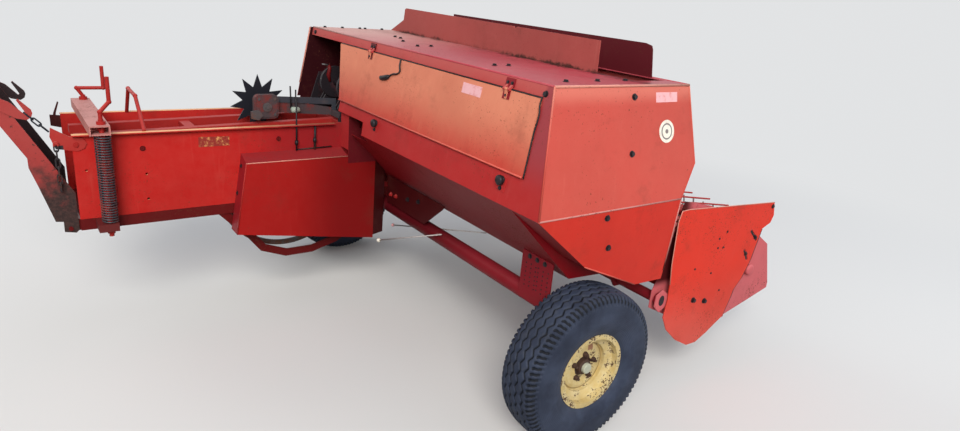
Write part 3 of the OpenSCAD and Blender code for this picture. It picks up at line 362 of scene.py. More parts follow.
def weathered_paint(name, fresh, faded, fading, chalk, rust, top=None, rise=None, gloss=0.44, also=()):
    """Old paint; top is the colour of faces that look up, rise an axis and two places between which it
    pales, partly by fading and on the door and the hood's top partly by painted sky light, and also lists
    masks with the colour to lay there."""
    f = Finish(name)
    broad = f.cloud(1.7, 4.0, 0.6)
    mottle = f.cloud(16.0, 4.0, 0.65, seed=2.0)
    runs = f.patches(f.cloud(1.0, 3.0, 0.6, f.stretched((38.0, 38.0, 3.2)), 4.0), 0.56, 0.75)
    fading_and_sky_light = (fading * (0.35 + broad * 1.3) + (mottle - 0.5) * 0.35 + runs * 0.14).clipped()
    # Along the rise the paint pales: fading, and on the door and the hood's top also painted sky light.
    if rise:
        axis, low, high = rise
        height = getattr(f, axis) + (broad - 0.5) * 0.25
        fading_and_sky_light = (fading_and_sky_light * 0.6 + f.patches(height, along(axis, low), along(axis, high)) * 0.75).clipped()
    colour = f.blend(fading_and_sky_light, fresh, faded)
    colour = f.blend(f.patches(broad, 0.35, 0.7) * 0.28, colour, tuple(c * 0.55 for c in fresh))
    colour = f.blend(f.patches(f.up, 0.25, 0.95) * chalk * (0.5 + mottle), colour, top or faded)
    for mask, second in also:
        colour = f.blend(mask(f), colour, second)
    grime = f.patches(f.cloud(5.0, 6.0, 0.7, seed=7.0), 0.52, 0.75) * 0.34
    colour = f.blend(grime, colour, GRIME)
    region = f.patches(f.cloud(3.4, 3.0, 0.6, seed=11.0), 0.44, 0.66)
    specks = f.patches(f.cloud(120.0, 2.0, 0.6, seed=13.0), 0.67 - rust * 0.09, 0.72 - rust * 0.09)
    chips = f.patches(f.cloud(34.0, 4.0, 0.7, seed=17.0), 0.70 - rust * 0.07, 0.725 - rust * 0.07)
    broken = (specks * region * 0.85 + chips * region).clipped()
    colour = f.blend(broken, colour, RUST)
    rough = gloss + fading_and_sky_light * 0.22 + broken * 0.3 + grime * 0.25
    waves = f.cloud(2.6, 2.0, 0.5, seed=19.0) * 3.0 + mottle * 0.12
    return f.set(colour, rough.clipped(), None, waves - broken * 0.25, 0.0016, PAINT_SHINE)


# %% [markdown]
# ### Paint of the chamber
# The chamber's long wall is the freshest red, with the hood's shade painted on
# it toward the knotters, and the cream colour of its flange's top is a painted
# highlight. The far ear is painted dark as shade. The guards that hang under
# the hood have its shade painted into their colour, and the neck guard's rear
# face is painted lighter, as lit.

# %% Chamber paints
PALE_TOP = (0.6, 0.27, 0.21)
# The cream colour of the wall's top faces is a painted highlight, and the mask near the knotters paints the
# hood's shade on the wall.
paint_wall = weathered_paint(
    "paint_wall", (0.5, 0.0165, 0.0145), (0.6, 0.12, 0.095), 0.07, 0.85, 0.55, (0.88, 0.5, 0.25),
    also=[(hood_shade_on_wall, (0.23, 0.0125, 0.018))])
# The far ear's dark colour is painted shade.
paint_ears = weathered_paint(
    "paint_ears", (0.4, 0.02, 0.018), (0.5, 0.12, 0.1), 0.2, 0.8, 1.5, PALE_TOP,
    also=[(chain_tail, (0.03, 0.026, 0.03)), (zone(("y", -50, 50)), (0.05, 0.012, 0.012))])
# The drive guard's rear faces, and its right face toward the hood, are painted darker as the hood's shade.
paint_guard = weathered_paint(
    "paint_guard", (0.37, 0.0095, 0.0088), (0.48, 0.05, 0.045), 0.1, 0.9, 0.4, (0.28, 0.026, 0.03),
    also=[(zone(("aft", -0.6, -0.9)), (0.27, 0.013, 0.019)),
          (zone(("x", -680, -330), ("aside", -0.5, -0.8)), (0.215, 0.0066, 0.0072))])
# The neck guard is painted nearly black as the shade under the hood, and its rear face is painted lighter as
# lit.
paint_neck = weathered_paint(
    "paint_neck", (0.095, 0.005, 0.009), (0.19, 0.016, 0.022), 0.2, 0.6, 0.4,
    also=[(zone(("aft", -0.5, -0.8)), (0.4, 0.027, 0.029))])
paint_pale = weathered_paint(
    "paint_pale", (0.44, 0.11, 0.095), (0.56, 0.28, 0.26), 0.6, 0.6, 1.3,
    also=[(zone(("z", 760, 720)), (0.12, 0.02, 0.02))])
print("materials with the chamber's:", len(bpy.data.materials))

# %% [markdown]
# ### Paint of the hood and the door
# The hood's top pales toward the far end, partly faded and partly a painted sky
# glare. The door is the palest sheet, its top partly faded and partly painted
# with sky light; the far plate's inner face is painted dark as shade; the end
# panel is a warm red with a painted highlight below its top edge, and the skirt
# below it is the brightest.

# %% Hood paints
# The hood's top pales toward the far end, partly fading and partly a painted sky glare.
paint_hood = weathered_paint(
    "paint_hood", (0.43, 0.033, 0.06), (0.74, 0.5, 0.44), 0.13, 0.0, 0.5, rise=("y", -1050, 420), gloss=0.34,
    also=[(leaf_litter, (0.035, 0.014, 0.012))])
paint_rear = weathered_paint(
    "paint_rear", (0.4, 0.016, 0.017), (0.53, 0.13, 0.12), 0.16, 0.5, 0.5, rise=("z", 1400, 1540),
    also=[(zone(("y", -1838, -1862), ("z", 1100, 1300), share=0.8), (0.29, 0.05, 0.062))])
# The far plate's inner face is painted nearly black as shade.
paint_far = weathered_paint(
    "paint_far", (0.4, 0.02, 0.02), (0.5, 0.1, 0.1), 0.2, 0.5, 0.5,
    also=[(zone(("aside", -0.6, -0.9)), (0.028, 0.003, 0.005))])
paint_flaps = weathered_paint(
    "paint_flaps", (0.295, 0.036, 0.034), (0.43, 0.125, 0.108), 0.45, 0.3, 0.6,
    also=[(zone(("x", 400, 430)), (0.09, 0.007, 0.012)), (leaf_litter, (0.05, 0.018, 0.014))])
# The door's paling toward its top is partly fading and partly painted sky light.
paint_door = weathered_paint(
    "paint_door", (0.5, 0.032, 0.024), (0.72, 0.27, 0.165), 0.22, 0.3, 0.5, rise=("z", 1140, 1400))
# The pale band below the panel's top edge is a painted highlight.
paint_panel = weathered_paint(
    "paint_panel", (0.5, 0.042, 0.033), (0.6, 0.135, 0.10), 0.45, 0.4, 0.35, PALE_TOP,
    also=[(zone(("z", 1430, 1500), share=0.5), (0.72, 0.24, 0.18))])
paint_skirt = weathered_paint(
    "paint_skirt", (0.6, 0.024, 0.0155), (0.68, 0.08, 0.053), 0.25, 0.4, 0.4)
print("materials with the hood's:", len(bpy.data.materials))

# %% [markdown]
# ### Paint of the pickup and of what lies below
# The pickup's outer plate is the brightest orange red. Toward the ground and in
# the shade of the hood the same red is painted dark, so the shade that falls
# there is painted into the colour.

# %% Pickup and undersides
paint_pickup = weathered_paint(
    "paint_pickup", (0.71, 0.03, 0.0125), (0.66, 0.12, 0.095), 0.2, 0.4, 0.75, PALE_TOP, rise=("z", 620, 200))
# The dark patch at the rear of the inner plate is painted shade in the gap beside the skirt.
paint_inner = weathered_paint(
    "paint_inner", (0.56, 0.06, 0.07), (0.64, 0.2, 0.22), 0.55, 0.3, 0.8,
    also=[(zone(("x", 720, 650), ("z", 555, 600)), (0.07, 0.007, 0.009))])
paint_frame = weathered_paint("paint_frame", (0.34, 0.014, 0.012), (0.46, 0.06, 0.055), 0.2, 0.6, 0.8)
# The underside, trough and web paints are dark copies of the red: painted shade.
paint_under = weathered_paint("paint_under", (0.11, 0.005, 0.006), (0.15, 0.016, 0.016), 0.15, 0.3, 0.9)
paint_trough = weathered_paint("paint_trough", (0.25, 0.0045, 0.0105), (0.3, 0.018, 0.024), 0.15, 0.3, 0.9)
paint_web = weathered_paint("paint_web", (0.05, 0.003, 0.004), (0.09, 0.01, 0.012), 0.15, 0.3, 0.9)
# The axle is painted darker toward the chamber, as shade.
paint_axle = weathered_paint(
    "paint_axle", (0.21, 0.0055, 0.012), (0.28, 0.028, 0.042), 0.2, 0.3, 0.6,
    also=[(zone(("y", -1350, -650), share=0.8), (0.06, 0.003, 0.006))])
print("red paints:", sum(m.name.startswith("paint_") for m in bpy.data.materials))

# %% [markdown]
# ### Chute paint
# The chute's side bars are red at the top and worn through to brown steel at
# the foot, where bales and stones have scoured them, so the blend follows the
# height.

# %% Chute paint
def chute_paint():
    f = Finish("paint_chute")
    mottle = f.cloud(14.0, 5.0, 0.7, seed=3.0)
    fine = f.cloud(90.0, 3.0, 0.6, seed=5.0)
    red = f.blend(f.cloud(6.0, 3.0, 0.6), (0.31, 0.014, 0.012), (0.38, 0.06, 0.055))
    bare = f.blend(f.patches(fine, 0.35, 0.7), (0.028, 0.014, 0.013), (0.06, 0.028, 0.025))
    worn = f.patches(f.z + (mottle - 0.5) * 0.55, along("z", 980), along("z", 720))
    chips = f.patches(f.cloud(38.0, 4.0, 0.7, seed=9.0), 0.6, 0.64)
    scoured = worn.most(chips * 0.8)
    # The far bar's inner face is painted nearly black as shade.
    inside = zone(("aside", -0.5, -0.8), ("y", 100, 200))(f)
    colour = f.blend(inside, f.blend(scoured, red, bare), (0.024, 0.015, 0.017))
    bumps = mottle * 0.5 - scoured * 0.4 + fine * 0.3
    return f.set(colour, 0.5 + scoured * 0.3, scoured * 0.1, bumps, 0.001)


paint_chute = chute_paint()
print("made", paint_chute.name)

# %% [markdown]
# ## Bare and dark metals
# Springs, hooks, the star wheel, the knotters and the tines were never painted
# or have long lost it. They share a recipe of dark steel with brown rust dust.

# %% Steel recipe
STEEL_SHINE = 0.25


def old_steel(name, dark, brown, share, metal=0.6, rough=0.5):
    """Steel with rust dust over a share of it."""
    f = Finish(name)
    fine = f.cloud(130.0, 4.0, 0.65)
    wide = f.cloud(9.0, 4.0, 0.6, seed=2.0)
    rusty = f.patches(wide + (fine - 0.5) * 0.4, 0.72 - share * 0.5, 0.9 - share * 0.5)
    colour = f.blend(rusty, dark, brown)
    colour = f.blend(f.patches(fine, 0.6, 0.8) * 0.4, colour, tuple(c * 1.8 for c in dark))
    dull = (rough + rusty * 0.3 + (fine - 0.5) * 0.2).clipped()
    return f.set(colour, dull, metal - rusty * metal, fine + wide, 0.0006, STEEL_SHINE)


steel_dark = old_steel("steel_dark", (0.022, 0.02, 0.024), (0.07, 0.035, 0.025), 0.3, 0.4)
steel_worn = old_steel("steel_worn", (0.11, 0.1, 0.105), (0.12, 0.05, 0.032), 0.55)
steel_blue = old_steel("steel_blue", (0.014, 0.016, 0.024), (0.035, 0.025, 0.028), 0.2, 0.4, 0.55)
steel_arm = old_steel("steel_arm", (0.05, 0.055, 0.07), (0.08, 0.06, 0.065), 0.4, 0.4, 0.55)
box_paint = old_steel("box_paint", (0.15, 0.026, 0.024), (0.06, 0.045, 0.05), 0.75, 0.05, 0.6)
steel_shade = old_steel("steel_shade", (0.016, 0.012, 0.016), (0.05, 0.014, 0.018), 0.4, 0.3, 0.6)
steel_spring = old_steel("steel_spring", (0.07, 0.068, 0.08), (0.2, 0.05, 0.045), 0.5, 0.5, 0.45)
steel_tine = old_steel("steel_tine", (0.3, 0.29, 0.28), (0.16, 0.08, 0.05), 0.35, 0.8, 0.35)
iron_cast = old_steel("iron_cast", (0.16, 0.03, 0.025), (0.09, 0.04, 0.028), 0.5, 0.1, 0.6)
print("materials so far:", len(bpy.data.materials))

# %% [markdown]
# ## Wheels
# The rims are a dull yellow that has dulled further to cream, with rust round
# the bolts and in a ring of specks, and a painted shadow line round the raised
# disc. The distance from the axle drives it. The hub is rusty, and only the cap
# on its tip is grey.

# %% Rim and hub finish
def rim_paint(name, middle_y):
    f = Finish(name)
    centre, away = f.from_axle(middle_y)
    mottle = f.cloud(22.0, 4.0, 0.65, seed=1.0)
    fine = f.cloud(110.0, 3.0, 0.65, seed=3.0)
    colour = f.blend(f.patches(mottle, 0.3, 0.75), (0.56, 0.42, 0.17), (0.66, 0.57, 0.34))
    dulled = f.patches(f.cloud(7.0, 3.0, 0.6, seed=6.0), 0.45, 0.75) * 0.55
    colour = f.blend(dulled, colour, (0.36, 0.26, 0.1))
    near_bolts = f.patches(away, 0.1, 0.05)
    outer = f.patches(away, 0.12, 0.165)
    rusty = f.patches(mottle * 0.6 + fine * 0.55 + near_bolts * 0.04 + outer * 0.05, 0.64, 0.70)
    rusty = rusty.most(f.patches(away, 0.047, 0.041) * 0.9)
    # A dark ring round the raised disc's edge is a painted shadow line.
    ledge = f.patches(away, 0.1025, 0.106) * f.patches(away, 0.1135, 0.109)
    colour = f.blend(ledge * 0.75, colour, (0.2, 0.12, 0.04))
    colour = f.blend(rusty, colour, (0.075, 0.03, 0.016))
    old_patch = (f.patches((f.x - centre.x - 0.03).maths("ABSOLUTE"), 0.016, 0.013)
                 * f.patches((f.z - centre.z - 0.082).maths("ABSOLUTE"), 0.014, 0.011))
    colour = f.blend(old_patch * 0.85, colour, (0.22, 0.075, 0.05))
    return f.set(colour, 0.46 + rusty * 0.35, None, mottle * 0.4 - rusty * 0.5, 0.001)


def hub_paint(name, middle_y, outward):
    f = Finish(name)
    beyond_tip = (f.y - along("y", middle_y + outward * 48)) * float(outward)
    fine = f.cloud(80.0, 4.0, 0.65)
    away = f.from_axle(middle_y)[1]
    cap = f.patches(beyond_tip, 0.0, 0.001) * f.patches(away, 0.032, 0.03)
    rusty = f.blend(fine, (0.022, 0.011, 0.008), (0.075, 0.035, 0.022))
    grey = f.blend(fine, (0.33, 0.34, 0.27), (0.5, 0.52, 0.42))
    return f.set(f.blend(cap, rusty, grey), 0.75 - cap * 0.25, None, fine, 0.0008)


# %% [markdown]
# ### Tyre rubber
# The rubber is black with a blue-grey bloom and pale dust on the shoulders. The
# grooves are painted darkest, as the shade that lies in them. They are found by
# how far a point lies under the tyre's outer curve, so the same curve is written
# here as a formula, in metres.

# %% Tyre rubber
def tyre_rubber(name, middle_y):
    f = Finish(name)
    centre, away = f.from_axle(middle_y)
    wide = f.cloud(7.0, 4.0, 0.6)
    fine = f.cloud(160.0, 3.0, 0.6, seed=4.0)
    from_middle = (f.y - centre.y).maths("ABSOLUTE")
    crown = TYRE_R / 1000 - 0.0105 * (from_middle / 0.0795) ** 2.4
    shoulder = (0.3432 - (from_middle - 0.0813) * 0.91).least(0.3314 - (from_middle - 0.0933) * 3.67)
    # The grooves are painted near black as shade.
    groove_shade = f.patches(crown.least(shoulder) - away, 0.0022, 0.0065) * f.patches(away, 0.312, 0.318)
    colour = f.blend(f.patches(wide, 0.3, 0.7), (0.014, 0.019, 0.036), (0.032, 0.042, 0.072))
    side = f.patches(away, 0.33, 0.22)
    bloom = side * f.patches(f.cloud(11.0, 4.0, 0.6, seed=8.0), 0.4, 0.8) * 0.6
    colour = f.blend(bloom, colour, (0.05, 0.065, 0.11))
    dusty = f.patches(f.cloud(24.0, 4.0, 0.7, seed=6.0), 0.5, 0.75) * f.patches(away, 0.31, 0.345)
    colour = f.blend(dusty * 0.4, colour, (0.075, 0.078, 0.09))
    colour = f.blend(groove_shade * 0.9, colour, (0.003, 0.004, 0.007))
    rings = ((away * 900.0).maths("SINE") * 0.5 + 0.5) * f.patches(away, 0.33, 0.31)
    bumps = fine * 0.5 + wide * 0.3 + rings * 0.25
    return f.set(colour, 0.68 + dusty * 0.2 - side * 0.08, None, bumps, 0.0009, 0.22)


rubber_right = tyre_rubber("rubber_right", WHEEL_RIGHT_Y)
rubber_left = tyre_rubber("rubber_left", WHEEL_LEFT_Y)
print("rubber nodes:", len(rubber_right.node_tree.nodes))

# %% [markdown]
# ## Finishes for the CAD parts
# Each CAD part keeps its shape and only gets its finish, so one table says
# which part wears which.

# %% Dress the CAD parts
WEARS = {
    paint_wall: ["chamber_wall_right", "chamber_wall_left"],
    paint_ears: ["wall_ears"],
    paint_frame: ["chamber_roof", "tension_rails", "drawbar_bracket", "drawbar_pivot", "drawbar", "jack_tube",
                  "pickup_frame", "pickup_bands", "density_cranks", "grab_hoop", "wind_guard"],
    paint_pale: ["density_beams"],
    paint_under: ["chamber_floor", "needle_guard"],
    paint_trough: ["feed_trough"],
    paint_guard: ["drive_guard"],
    paint_neck: ["neck_guard"],
    paint_hood: ["hood_top"],
    paint_rear: ["hood_rear", "hood_front"],
    paint_far: ["hood_far_plate"],
    paint_flaps: ["hood_guards"],
    paint_door: ["feeder_door"],
    paint_panel: ["hood_end_panel"],
    paint_skirt: ["side_skirt"],
    paint_axle: ["axle", "pickup_hanger"],
    paint_pickup: ["pickup_side_plate", "pickup_left_plate"],
    paint_inner: ["pickup_inner_plate"],
    paint_chute: ["bale_chute"],
    steel_worn: ["plunger", "feeder_carriage", "needle_yoke"],
    steel_shade: ["knotters"],
    steel_blue: ["star_wheel", "chute_chain"],
    box_paint: ["star_bracket"],
    steel_tine: ["tine_reel", "jack_leg"],
    iron_cast: ["gearbox", "flywheel"],
    rim_paint("rim_right_paint", WHEEL_RIGHT_Y): ["rim_right"],
    rim_paint("rim_left_paint", WHEEL_LEFT_Y): ["rim_left"],
    hub_paint("hub_right_paint", WHEEL_RIGHT_Y, -1): ["hub_right"],
    hub_paint("hub_left_paint", WHEEL_LEFT_Y, 1): ["hub_left"],
}
for finish, names in WEARS.items():
    for name in names:
        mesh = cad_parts[name].data
        mesh.materials.clear()
        mesh.materials.append(finish)
print("CAD parts dressed:", sum(len(names) for names in WEARS.values()))

# %% [markdown]
# ## Making and placing pieces
# A new piece needs a mesh, a finish, a body to ride on and, where it stands for
# a CAD part, the name of that part. One function makes the mesh, and a second
# one settles it.

# %% Piece helper
def piece(name, verts, faces, finish, body, slot=None, smooth=False, stands_for=()):
    """Makes a mesh piece, puts it on a body and hides the CAD parts that it replaces."""
    mesh = bpy.data.meshes.new(name)
    mesh.from_pydata([tuple(v) for v in verts], [], [tuple(f) for f in faces])
    mesh.validate()
    return settle(name, mesh, finish, body, smooth, stands_for)


def settle(name, mesh, finish, body, smooth=False, stands_for=()):
    """Does the same for a mesh that is already made."""
    mesh.materials.clear()
    mesh.materials.append(finish)
    mesh.polygons.foreach_set("use_smooth", [smooth] * len(mesh.polygons))
    mesh.update()
    made = bpy.data.objects.new(name, mesh)
    bpy.context.collection.objects.link(made)
    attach(made, body)
    if stands_for:
        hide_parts(*stands_for)
    return made


# %% [markdown]
# ## Tyres
# The casing is turned from half an outline, which starts at the bead, climbs
# the side wall over its ribs and the shoulder, and crosses the crown.

# %% Casing outline
TYRE_W = 215
BEAD_R = 154
RIM_HALF = 81
CROWN_DROP = 10.5
CROWN_POINTS = 54


def casing_outline():
    """Points of (distance across, radius), from one bead over the crown to the other and back inside."""
    half = TYRE_W / 2
    side = [(RIM_HALF + 0.3, BEAD_R + 1), (RIM_HALF + 2, 171), (RIM_HALF + 9, 178), (RIM_HALF + 15, 186),
            (half - 6, 204), (half - 3, 212), (half - 2.6, 217), (half - 0.5, 222), (half, 236), (half, 252),
            (half - 1, 268), (half - 2.5, 283), (half - 4, 295), (half - 6, 305), (half - 8, 312)]
    shoulder = [(half - 10 - 0.6 * i, 316 + 2.2 * i) for i in range(8)]
    shoulder += [(half - 15 - 1.6 * i, 333 + 2.3 * i - 0.12 * i * i) for i in range(8)]
    across_crown = np.linspace(half - 29, -(half - 29), CROWN_POINTS)
    crown = [(y, TYRE_R - CROWN_DROP * (abs(y) / (half - 28)) ** 2.4) for y in across_crown]
    outside = side + shoulder
    inside = [(RIM_HALF - 14, BEAD_R + 1), (RIM_HALF - 6, 190), (half - 17, 226), (half - 20, 300),
              (half - 38, 326), (0, 334)]
    mirrored = [(-y, r) for y, r in reversed(outside)]
    within = [(-y, r) for y, r in inside] + [(y, r) for y, r in reversed(inside[:-1])]
    return np.array(outside + crown + mirrored + within), 2 * len(outside) + len(crown)


print("points of the casing:", len(casing_outline()[0]))

# %% [markdown]
# ### Tread
# The tread is a rule rather than a drawing: four zigzag grooves run round the
# crown and short slots cut each shoulder twice for every zig and zag. So every
# point of the outline is turned round the axle, and then moved in by the depth
# of the groove it lies in. A grid fine enough to show the grooves has about
# 110,000 triangles.

# %% Tyre tread
ZIGZAGS = 44
STEPS_PER_ZIGZAG = 10
GROOVES = (-50, -17, 17, 50)
GROOVE_W, GROOVE_DEPTH, GROOVE_SOFT, ZIGZAG_SWING = 8.0, 10.0, 1.6, 6.0
SLOT_W, SLOT_DEPTH, SLOT_SOFT, SLOT_SLANT = 0.42, 12.0, 0.08, 0.012


def ease(value, low, high):
    """Rises softly from 0 to 1 between two values."""
    t = np.clip((value - low) / (high - low), 0, 1)
    return t * t * (3 - 2 * t)


def inside_of(distance, width, soft):
    """1 within half a width of a line and 0 outside it, with a soft edge."""
    return 1 - ease(distance, width / 2 - soft, width / 2 + soft)


def tread_depth(y, r, phase):
    """How far each point of the grid is moved in; phase counts the zigzags round the tyre."""
    depth = np.zeros_like(r)
    zigzag = 4 * np.abs((phase % 1) - 0.5) - 1
    for k, middle in enumerate(GROOVES):
        line = middle + zigzag * ZIGZAG_SWING * (1 if k % 2 else -1)
        depth = np.maximum(depth, GROOVE_DEPTH * inside_of(np.abs(y - line), GROOVE_W, GROOVE_SOFT))
    from_slot = np.abs(((phase * 2 + np.abs(y) * SLOT_SLANT) % 1) - 0.5)
    on_shoulder = ease(np.abs(y), 66, 71) * ease(r, 309, 318)
    return np.maximum(depth, SLOT_DEPTH * on_shoulder * inside_of(from_slot, SLOT_W, SLOT_SOFT))


def tyre(name, middle_y, finish, body, node):
    outline, outer = casing_outline()
    n, steps = len(outline), ZIGZAGS * STEPS_PER_ZIGZAG
    turn = np.arange(steps) / steps
    y, r = np.tile(outline[:, 0], (steps, 1)), np.tile(outline[:, 1], (steps, 1))
    depth = tread_depth(y, r, np.tile((turn * ZIGZAGS)[:, None], (1, n)))
    depth[:, outer:] = 0
    r = r - depth
    angle = turn[:, None] * 2 * math.pi
    centre = at(0, middle_y, TYRE_R)
    points = np.stack([centre.x + r * np.cos(angle) / 1000, centre.y + y / 1000,
                       centre.z + r * np.sin(angle) / 1000], axis=-1).reshape(-1, 3)
    faces = [(i * n + j, i * n + (j + 1) % n, (i + 1) % steps * n + (j + 1) % n, (i + 1) % steps * n + j)
             for i in range(steps) for j in range(n)]
    piece(name, points, faces, finish, body, "tyre", True, (node,))
    print(name, "triangles:", 2 * len(faces))


tyre("tyre_tread_right", WHEEL_RIGHT_Y, rubber_right, "wheel_right", "tyre_right")
tyre("tyre_tread_left", WHEEL_LEFT_Y, rubber_left, "wheel_left", "tyre_left")

# %% [markdown]
# ## Geometry Nodes for what repeats
# Springs and bolt heads repeat one small shape at many places. A tree of
# geometry nodes holds the shape once and puts it on a list of points. Its sizes
# are named inputs. Afterwards the result is turned into a plain mesh and the
# modifier is removed, because the export keeps only meshes.

# %% Geometry tree helpers
class Recipe(Bench):
    """A geometry node tree with named inputs."""

    def __init__(self, name, sizes):
        super().__init__(bpy.data.node_groups.new(name, "GeometryNodeTree"))
        sockets = self.tree.interface
        sockets.new_socket("Geometry", in_out="INPUT", socket_type="NodeSocketGeometry")
        for label, value in sizes.items():
            sockets.new_socket(label, in_out="INPUT", socket_type="NodeSocketFloat").default_value = value
        sockets.new_socket("Geometry", in_out="OUTPUT", socket_type="NodeSocketGeometry")
        self.given = self.node("NodeGroupInput")

    def size(self, label):
        return self.given.other(label)

    def hand_out(self, geometry, finish):
        """Ends the tree with real meshes in their finish."""
        real = self.node("GeometryNodeRealizeInstances", {}, {0: geometry})
        painted = self.node("GeometryNodeSetMaterial", {}, {"Geometry": real, "Material": finish})
        end = self.tree.nodes.new("NodeGroupOutput")
        self.tree.links.new(painted.socket, end.inputs[0])


def grown(recipe, points, directions=None, **sizes):
    """Runs a recipe on a cloud of points and returns the plain mesh."""
    mesh = bpy.data.meshes.new("points")
    mesh.from_pydata([tuple(p) for p in points], [], [])
    if directions is not None:
        facing = mesh.attributes.new("facing", "FLOAT_VECTOR", "POINT")
        facing.data.foreach_set("vector", [c for d in directions for c in d])
    seed = bpy.data.objects.new("seed", mesh)
    bpy.context.collection.objects.link(seed)
    modifier = seed.modifiers.new("recipe", "NODES")
    modifier.node_group = recipe.tree
    for item in recipe.tree.interface.items_tree:
        label = item.name.replace(" ", "_").lower()
        if item.in_out == "INPUT" and label in sizes:
            modifier[item.identifier] = sizes[label]
    bpy.context.view_layer.update()
    result = bpy.data.meshes.new_from_object(seed.evaluated_get(bpy.context.evaluated_depsgraph_get()))
    seed.modifiers.clear()
    bpy.data.objects.remove(seed)
    return result


# %% [markdown]
# ### Density springs
# The two springs beside the chamber are a spiral curve with a round wire swept
# along it. The spiral stands on a point, so one tree makes both. Their height
# is read from the CAD springs that they stand for.

# %% Springs
COIL_R, WIRE_R, TURNS = 0.0325, 0.0035, 34.0
SPRING_X, SPRING_Y = -1505, 311


def spring_recipe(finish):
    r = Recipe("coil_spring", {"Coil radius": COIL_R, "Wire radius": WIRE_R, "Turns": TURNS, "Height": 0.4})
    coil = r.node("GeometryNodeCurveSpiral", {}, {
        "Resolution": 20, "Rotations": r.size("Turns"), "Start Radius": r.size("Coil radius"),
        "End Radius": r.size("Coil radius"), "Height": r.size("Height")})
    ring = r.node("GeometryNodeCurvePrimitiveCircle", {}, {"Resolution": 8, "Radius": r.size("Wire radius")})
    wire = r.node("GeometryNodeCurveToMesh", {}, {"Curve": coil, "Profile Curve": ring, "Fill Caps": True})
    r.hand_out(r.node("GeometryNodeInstanceOnPoints", {}, {"Points": r.given, "Instance": wire}), finish)
    return r


spring_low, spring_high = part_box("density_springs")
foot_z = spring_low.z + WIRE_R
springs = [Vector((along("x", SPRING_X), along("y", y), foot_z)) for y in (-SPRING_Y, SPRING_Y)]
spring_mesh = grown(spring_recipe(steel_spring), springs, coil_radius=COIL_R, wire_radius=WIRE_R, turns=TURNS,
                    height=spring_high.z - spring_low.z - 2 * WIRE_R)
settle("coil_springs", spring_mesh, steel_spring, "root", True, ("density_springs",))
print("spring triangles:", len(spring_mesh.polygons) * 2)

# %% [markdown]
# ### Bolt heads
# Bolts are listed by place and by the direction they face. The tree sets a
# washer and a hexagonal head on each point and turns both to that direction.
# A bolt is sunk into its sheet by half its washer, so no gap shows under it.

# %% Bolt recipe
WASHER_THICK = 0.0024


def bolt_recipe(finish):
    r = Recipe("bolt_head", {"Head radius": 0.009, "Head height": 0.006, "Washer radius": 0.012})
    head = r.node("GeometryNodeMeshCylinder", {}, {
        "Vertices": 6, "Radius": r.size("Head radius"), "Depth": r.size("Head height")}, out="Mesh")
    lift = r.node("ShaderNodeCombineXYZ", {}, {"Z": r.size("Head height") * 0.5 + WASHER_THICK / 2})
    raised = r.node("GeometryNodeTransform", {}, {"Geometry": head, "Translation": lift})
    washer = r.node("GeometryNodeMeshCylinder", {}, {
        "Vertices": 20, "Radius": r.size("Washer radius"), "Depth": WASHER_THICK}, out="Mesh")
    both = r.node("GeometryNodeJoinGeometry")
    for part in (raised, washer):
        r.tree.links.new(part.socket, both.socket.node.inputs[0])
    facing = r.node("GeometryNodeInputNamedAttribute", {"data_type": "FLOAT_VECTOR"}, {"Name": "facing"})
    turned = r.node("FunctionNodeAlignRotationToVector", {"axis": "Z"}, {"Vector": facing})
    r.hand_out(r.node("GeometryNodeInstanceOnPoints", {}, {
        "Points": r.given, "Instance": both, "Rotation": turned}), finish)
    return r


def bolts(name, body, size, *rows, finish=steel_dark, slot="dark_steel"):
    """Rows of bolts, each a direction and a list of places. The size is the head's radius and height
    and the washer's radius, in millimetres."""
    points = [at(*place) for _, places in rows for place in places]
    directions = [direction for direction, places in rows for _ in places]
    head_radius, head_height, washer_radius = (mm / 1000 for mm in size)
    mesh = grown(bolt_recipe(finish), points, directions, head_radius=head_radius, head_height=head_height,
                 washer_radius=washer_radius)
    settle(name, mesh, finish, body)


# %% [markdown]
# ### Bolts in view
# The panels are held by coach bolts whose heads show as dark dots: two in the
# end panel, two in the skirt, and rows along the hood's top. They were placed
# by sending rays from the camera through the dots on to the model.

# %% Bolts of the hood
SKY, AFT, OUT = Vector((0, 0, 1)), Vector((-1, 0, 0)), Vector((0, -1, 0))
PANEL_OUT = Vector((0, -0.976, 0.22))
SKIRT_OUT = Vector((0, -0.996, -0.09))
REAR_OUT = Vector((-0.98, 0, 0.19))
COACH, SMALL = (9, 7, 13), (5.5, 4, 7)
HINGE_Y = {"far": -500, "near": -1645}


def leaning(z, start, lean):
    """A coordinate of the hood's leaning faces at a height."""
    return start - lean * (HOOD_TOP - z) / (HOOD_TOP - HOOD_LOW)


def rear_x(z, proud=0.0):
    """X of the hood's leaning rear face at a height."""
    return leaning(z, HOOD_REAR_X, HOOD_REAR_LEAN) - proud


bolts("panel_bolts", "root", (9.5, 8, 13.8), (PANEL_OUT, [(158, -1895, 1471), (141, -1943, 1254)]),
      (SKIRT_OUT, [(6, -1987, 1017), (53, -1975, 880)]))
top_places = [(-116, -1787), (58, -1781), (225, -1775), (25, -190), (16, -270), (-62, -438), (-104, -662),
              (-18, -653), (-131, -1354), (-56, -1356)] + [(x, 288) for x in (-196, -82, 36, 72, 190)]
bolts("hood_bolts", "root", COACH, (SKY, [(x, y, HOOD_TOP) for x, y in top_places]))
bolts("hinge_bolts", "root", SMALL,
      (REAR_OUT, [(rear_x(1490, 4.5), y + dy, 1490) for y in HINGE_Y.values() for dy in (-14, 14)]))
bolts("door_hinge_bolts", "feeder_door", SMALL,
      (REAR_OUT, [(rear_x(1442, 10.5), y, 1442) for y in HINGE_Y.values()]))
print("bolts on the hood's top:", len(top_places))

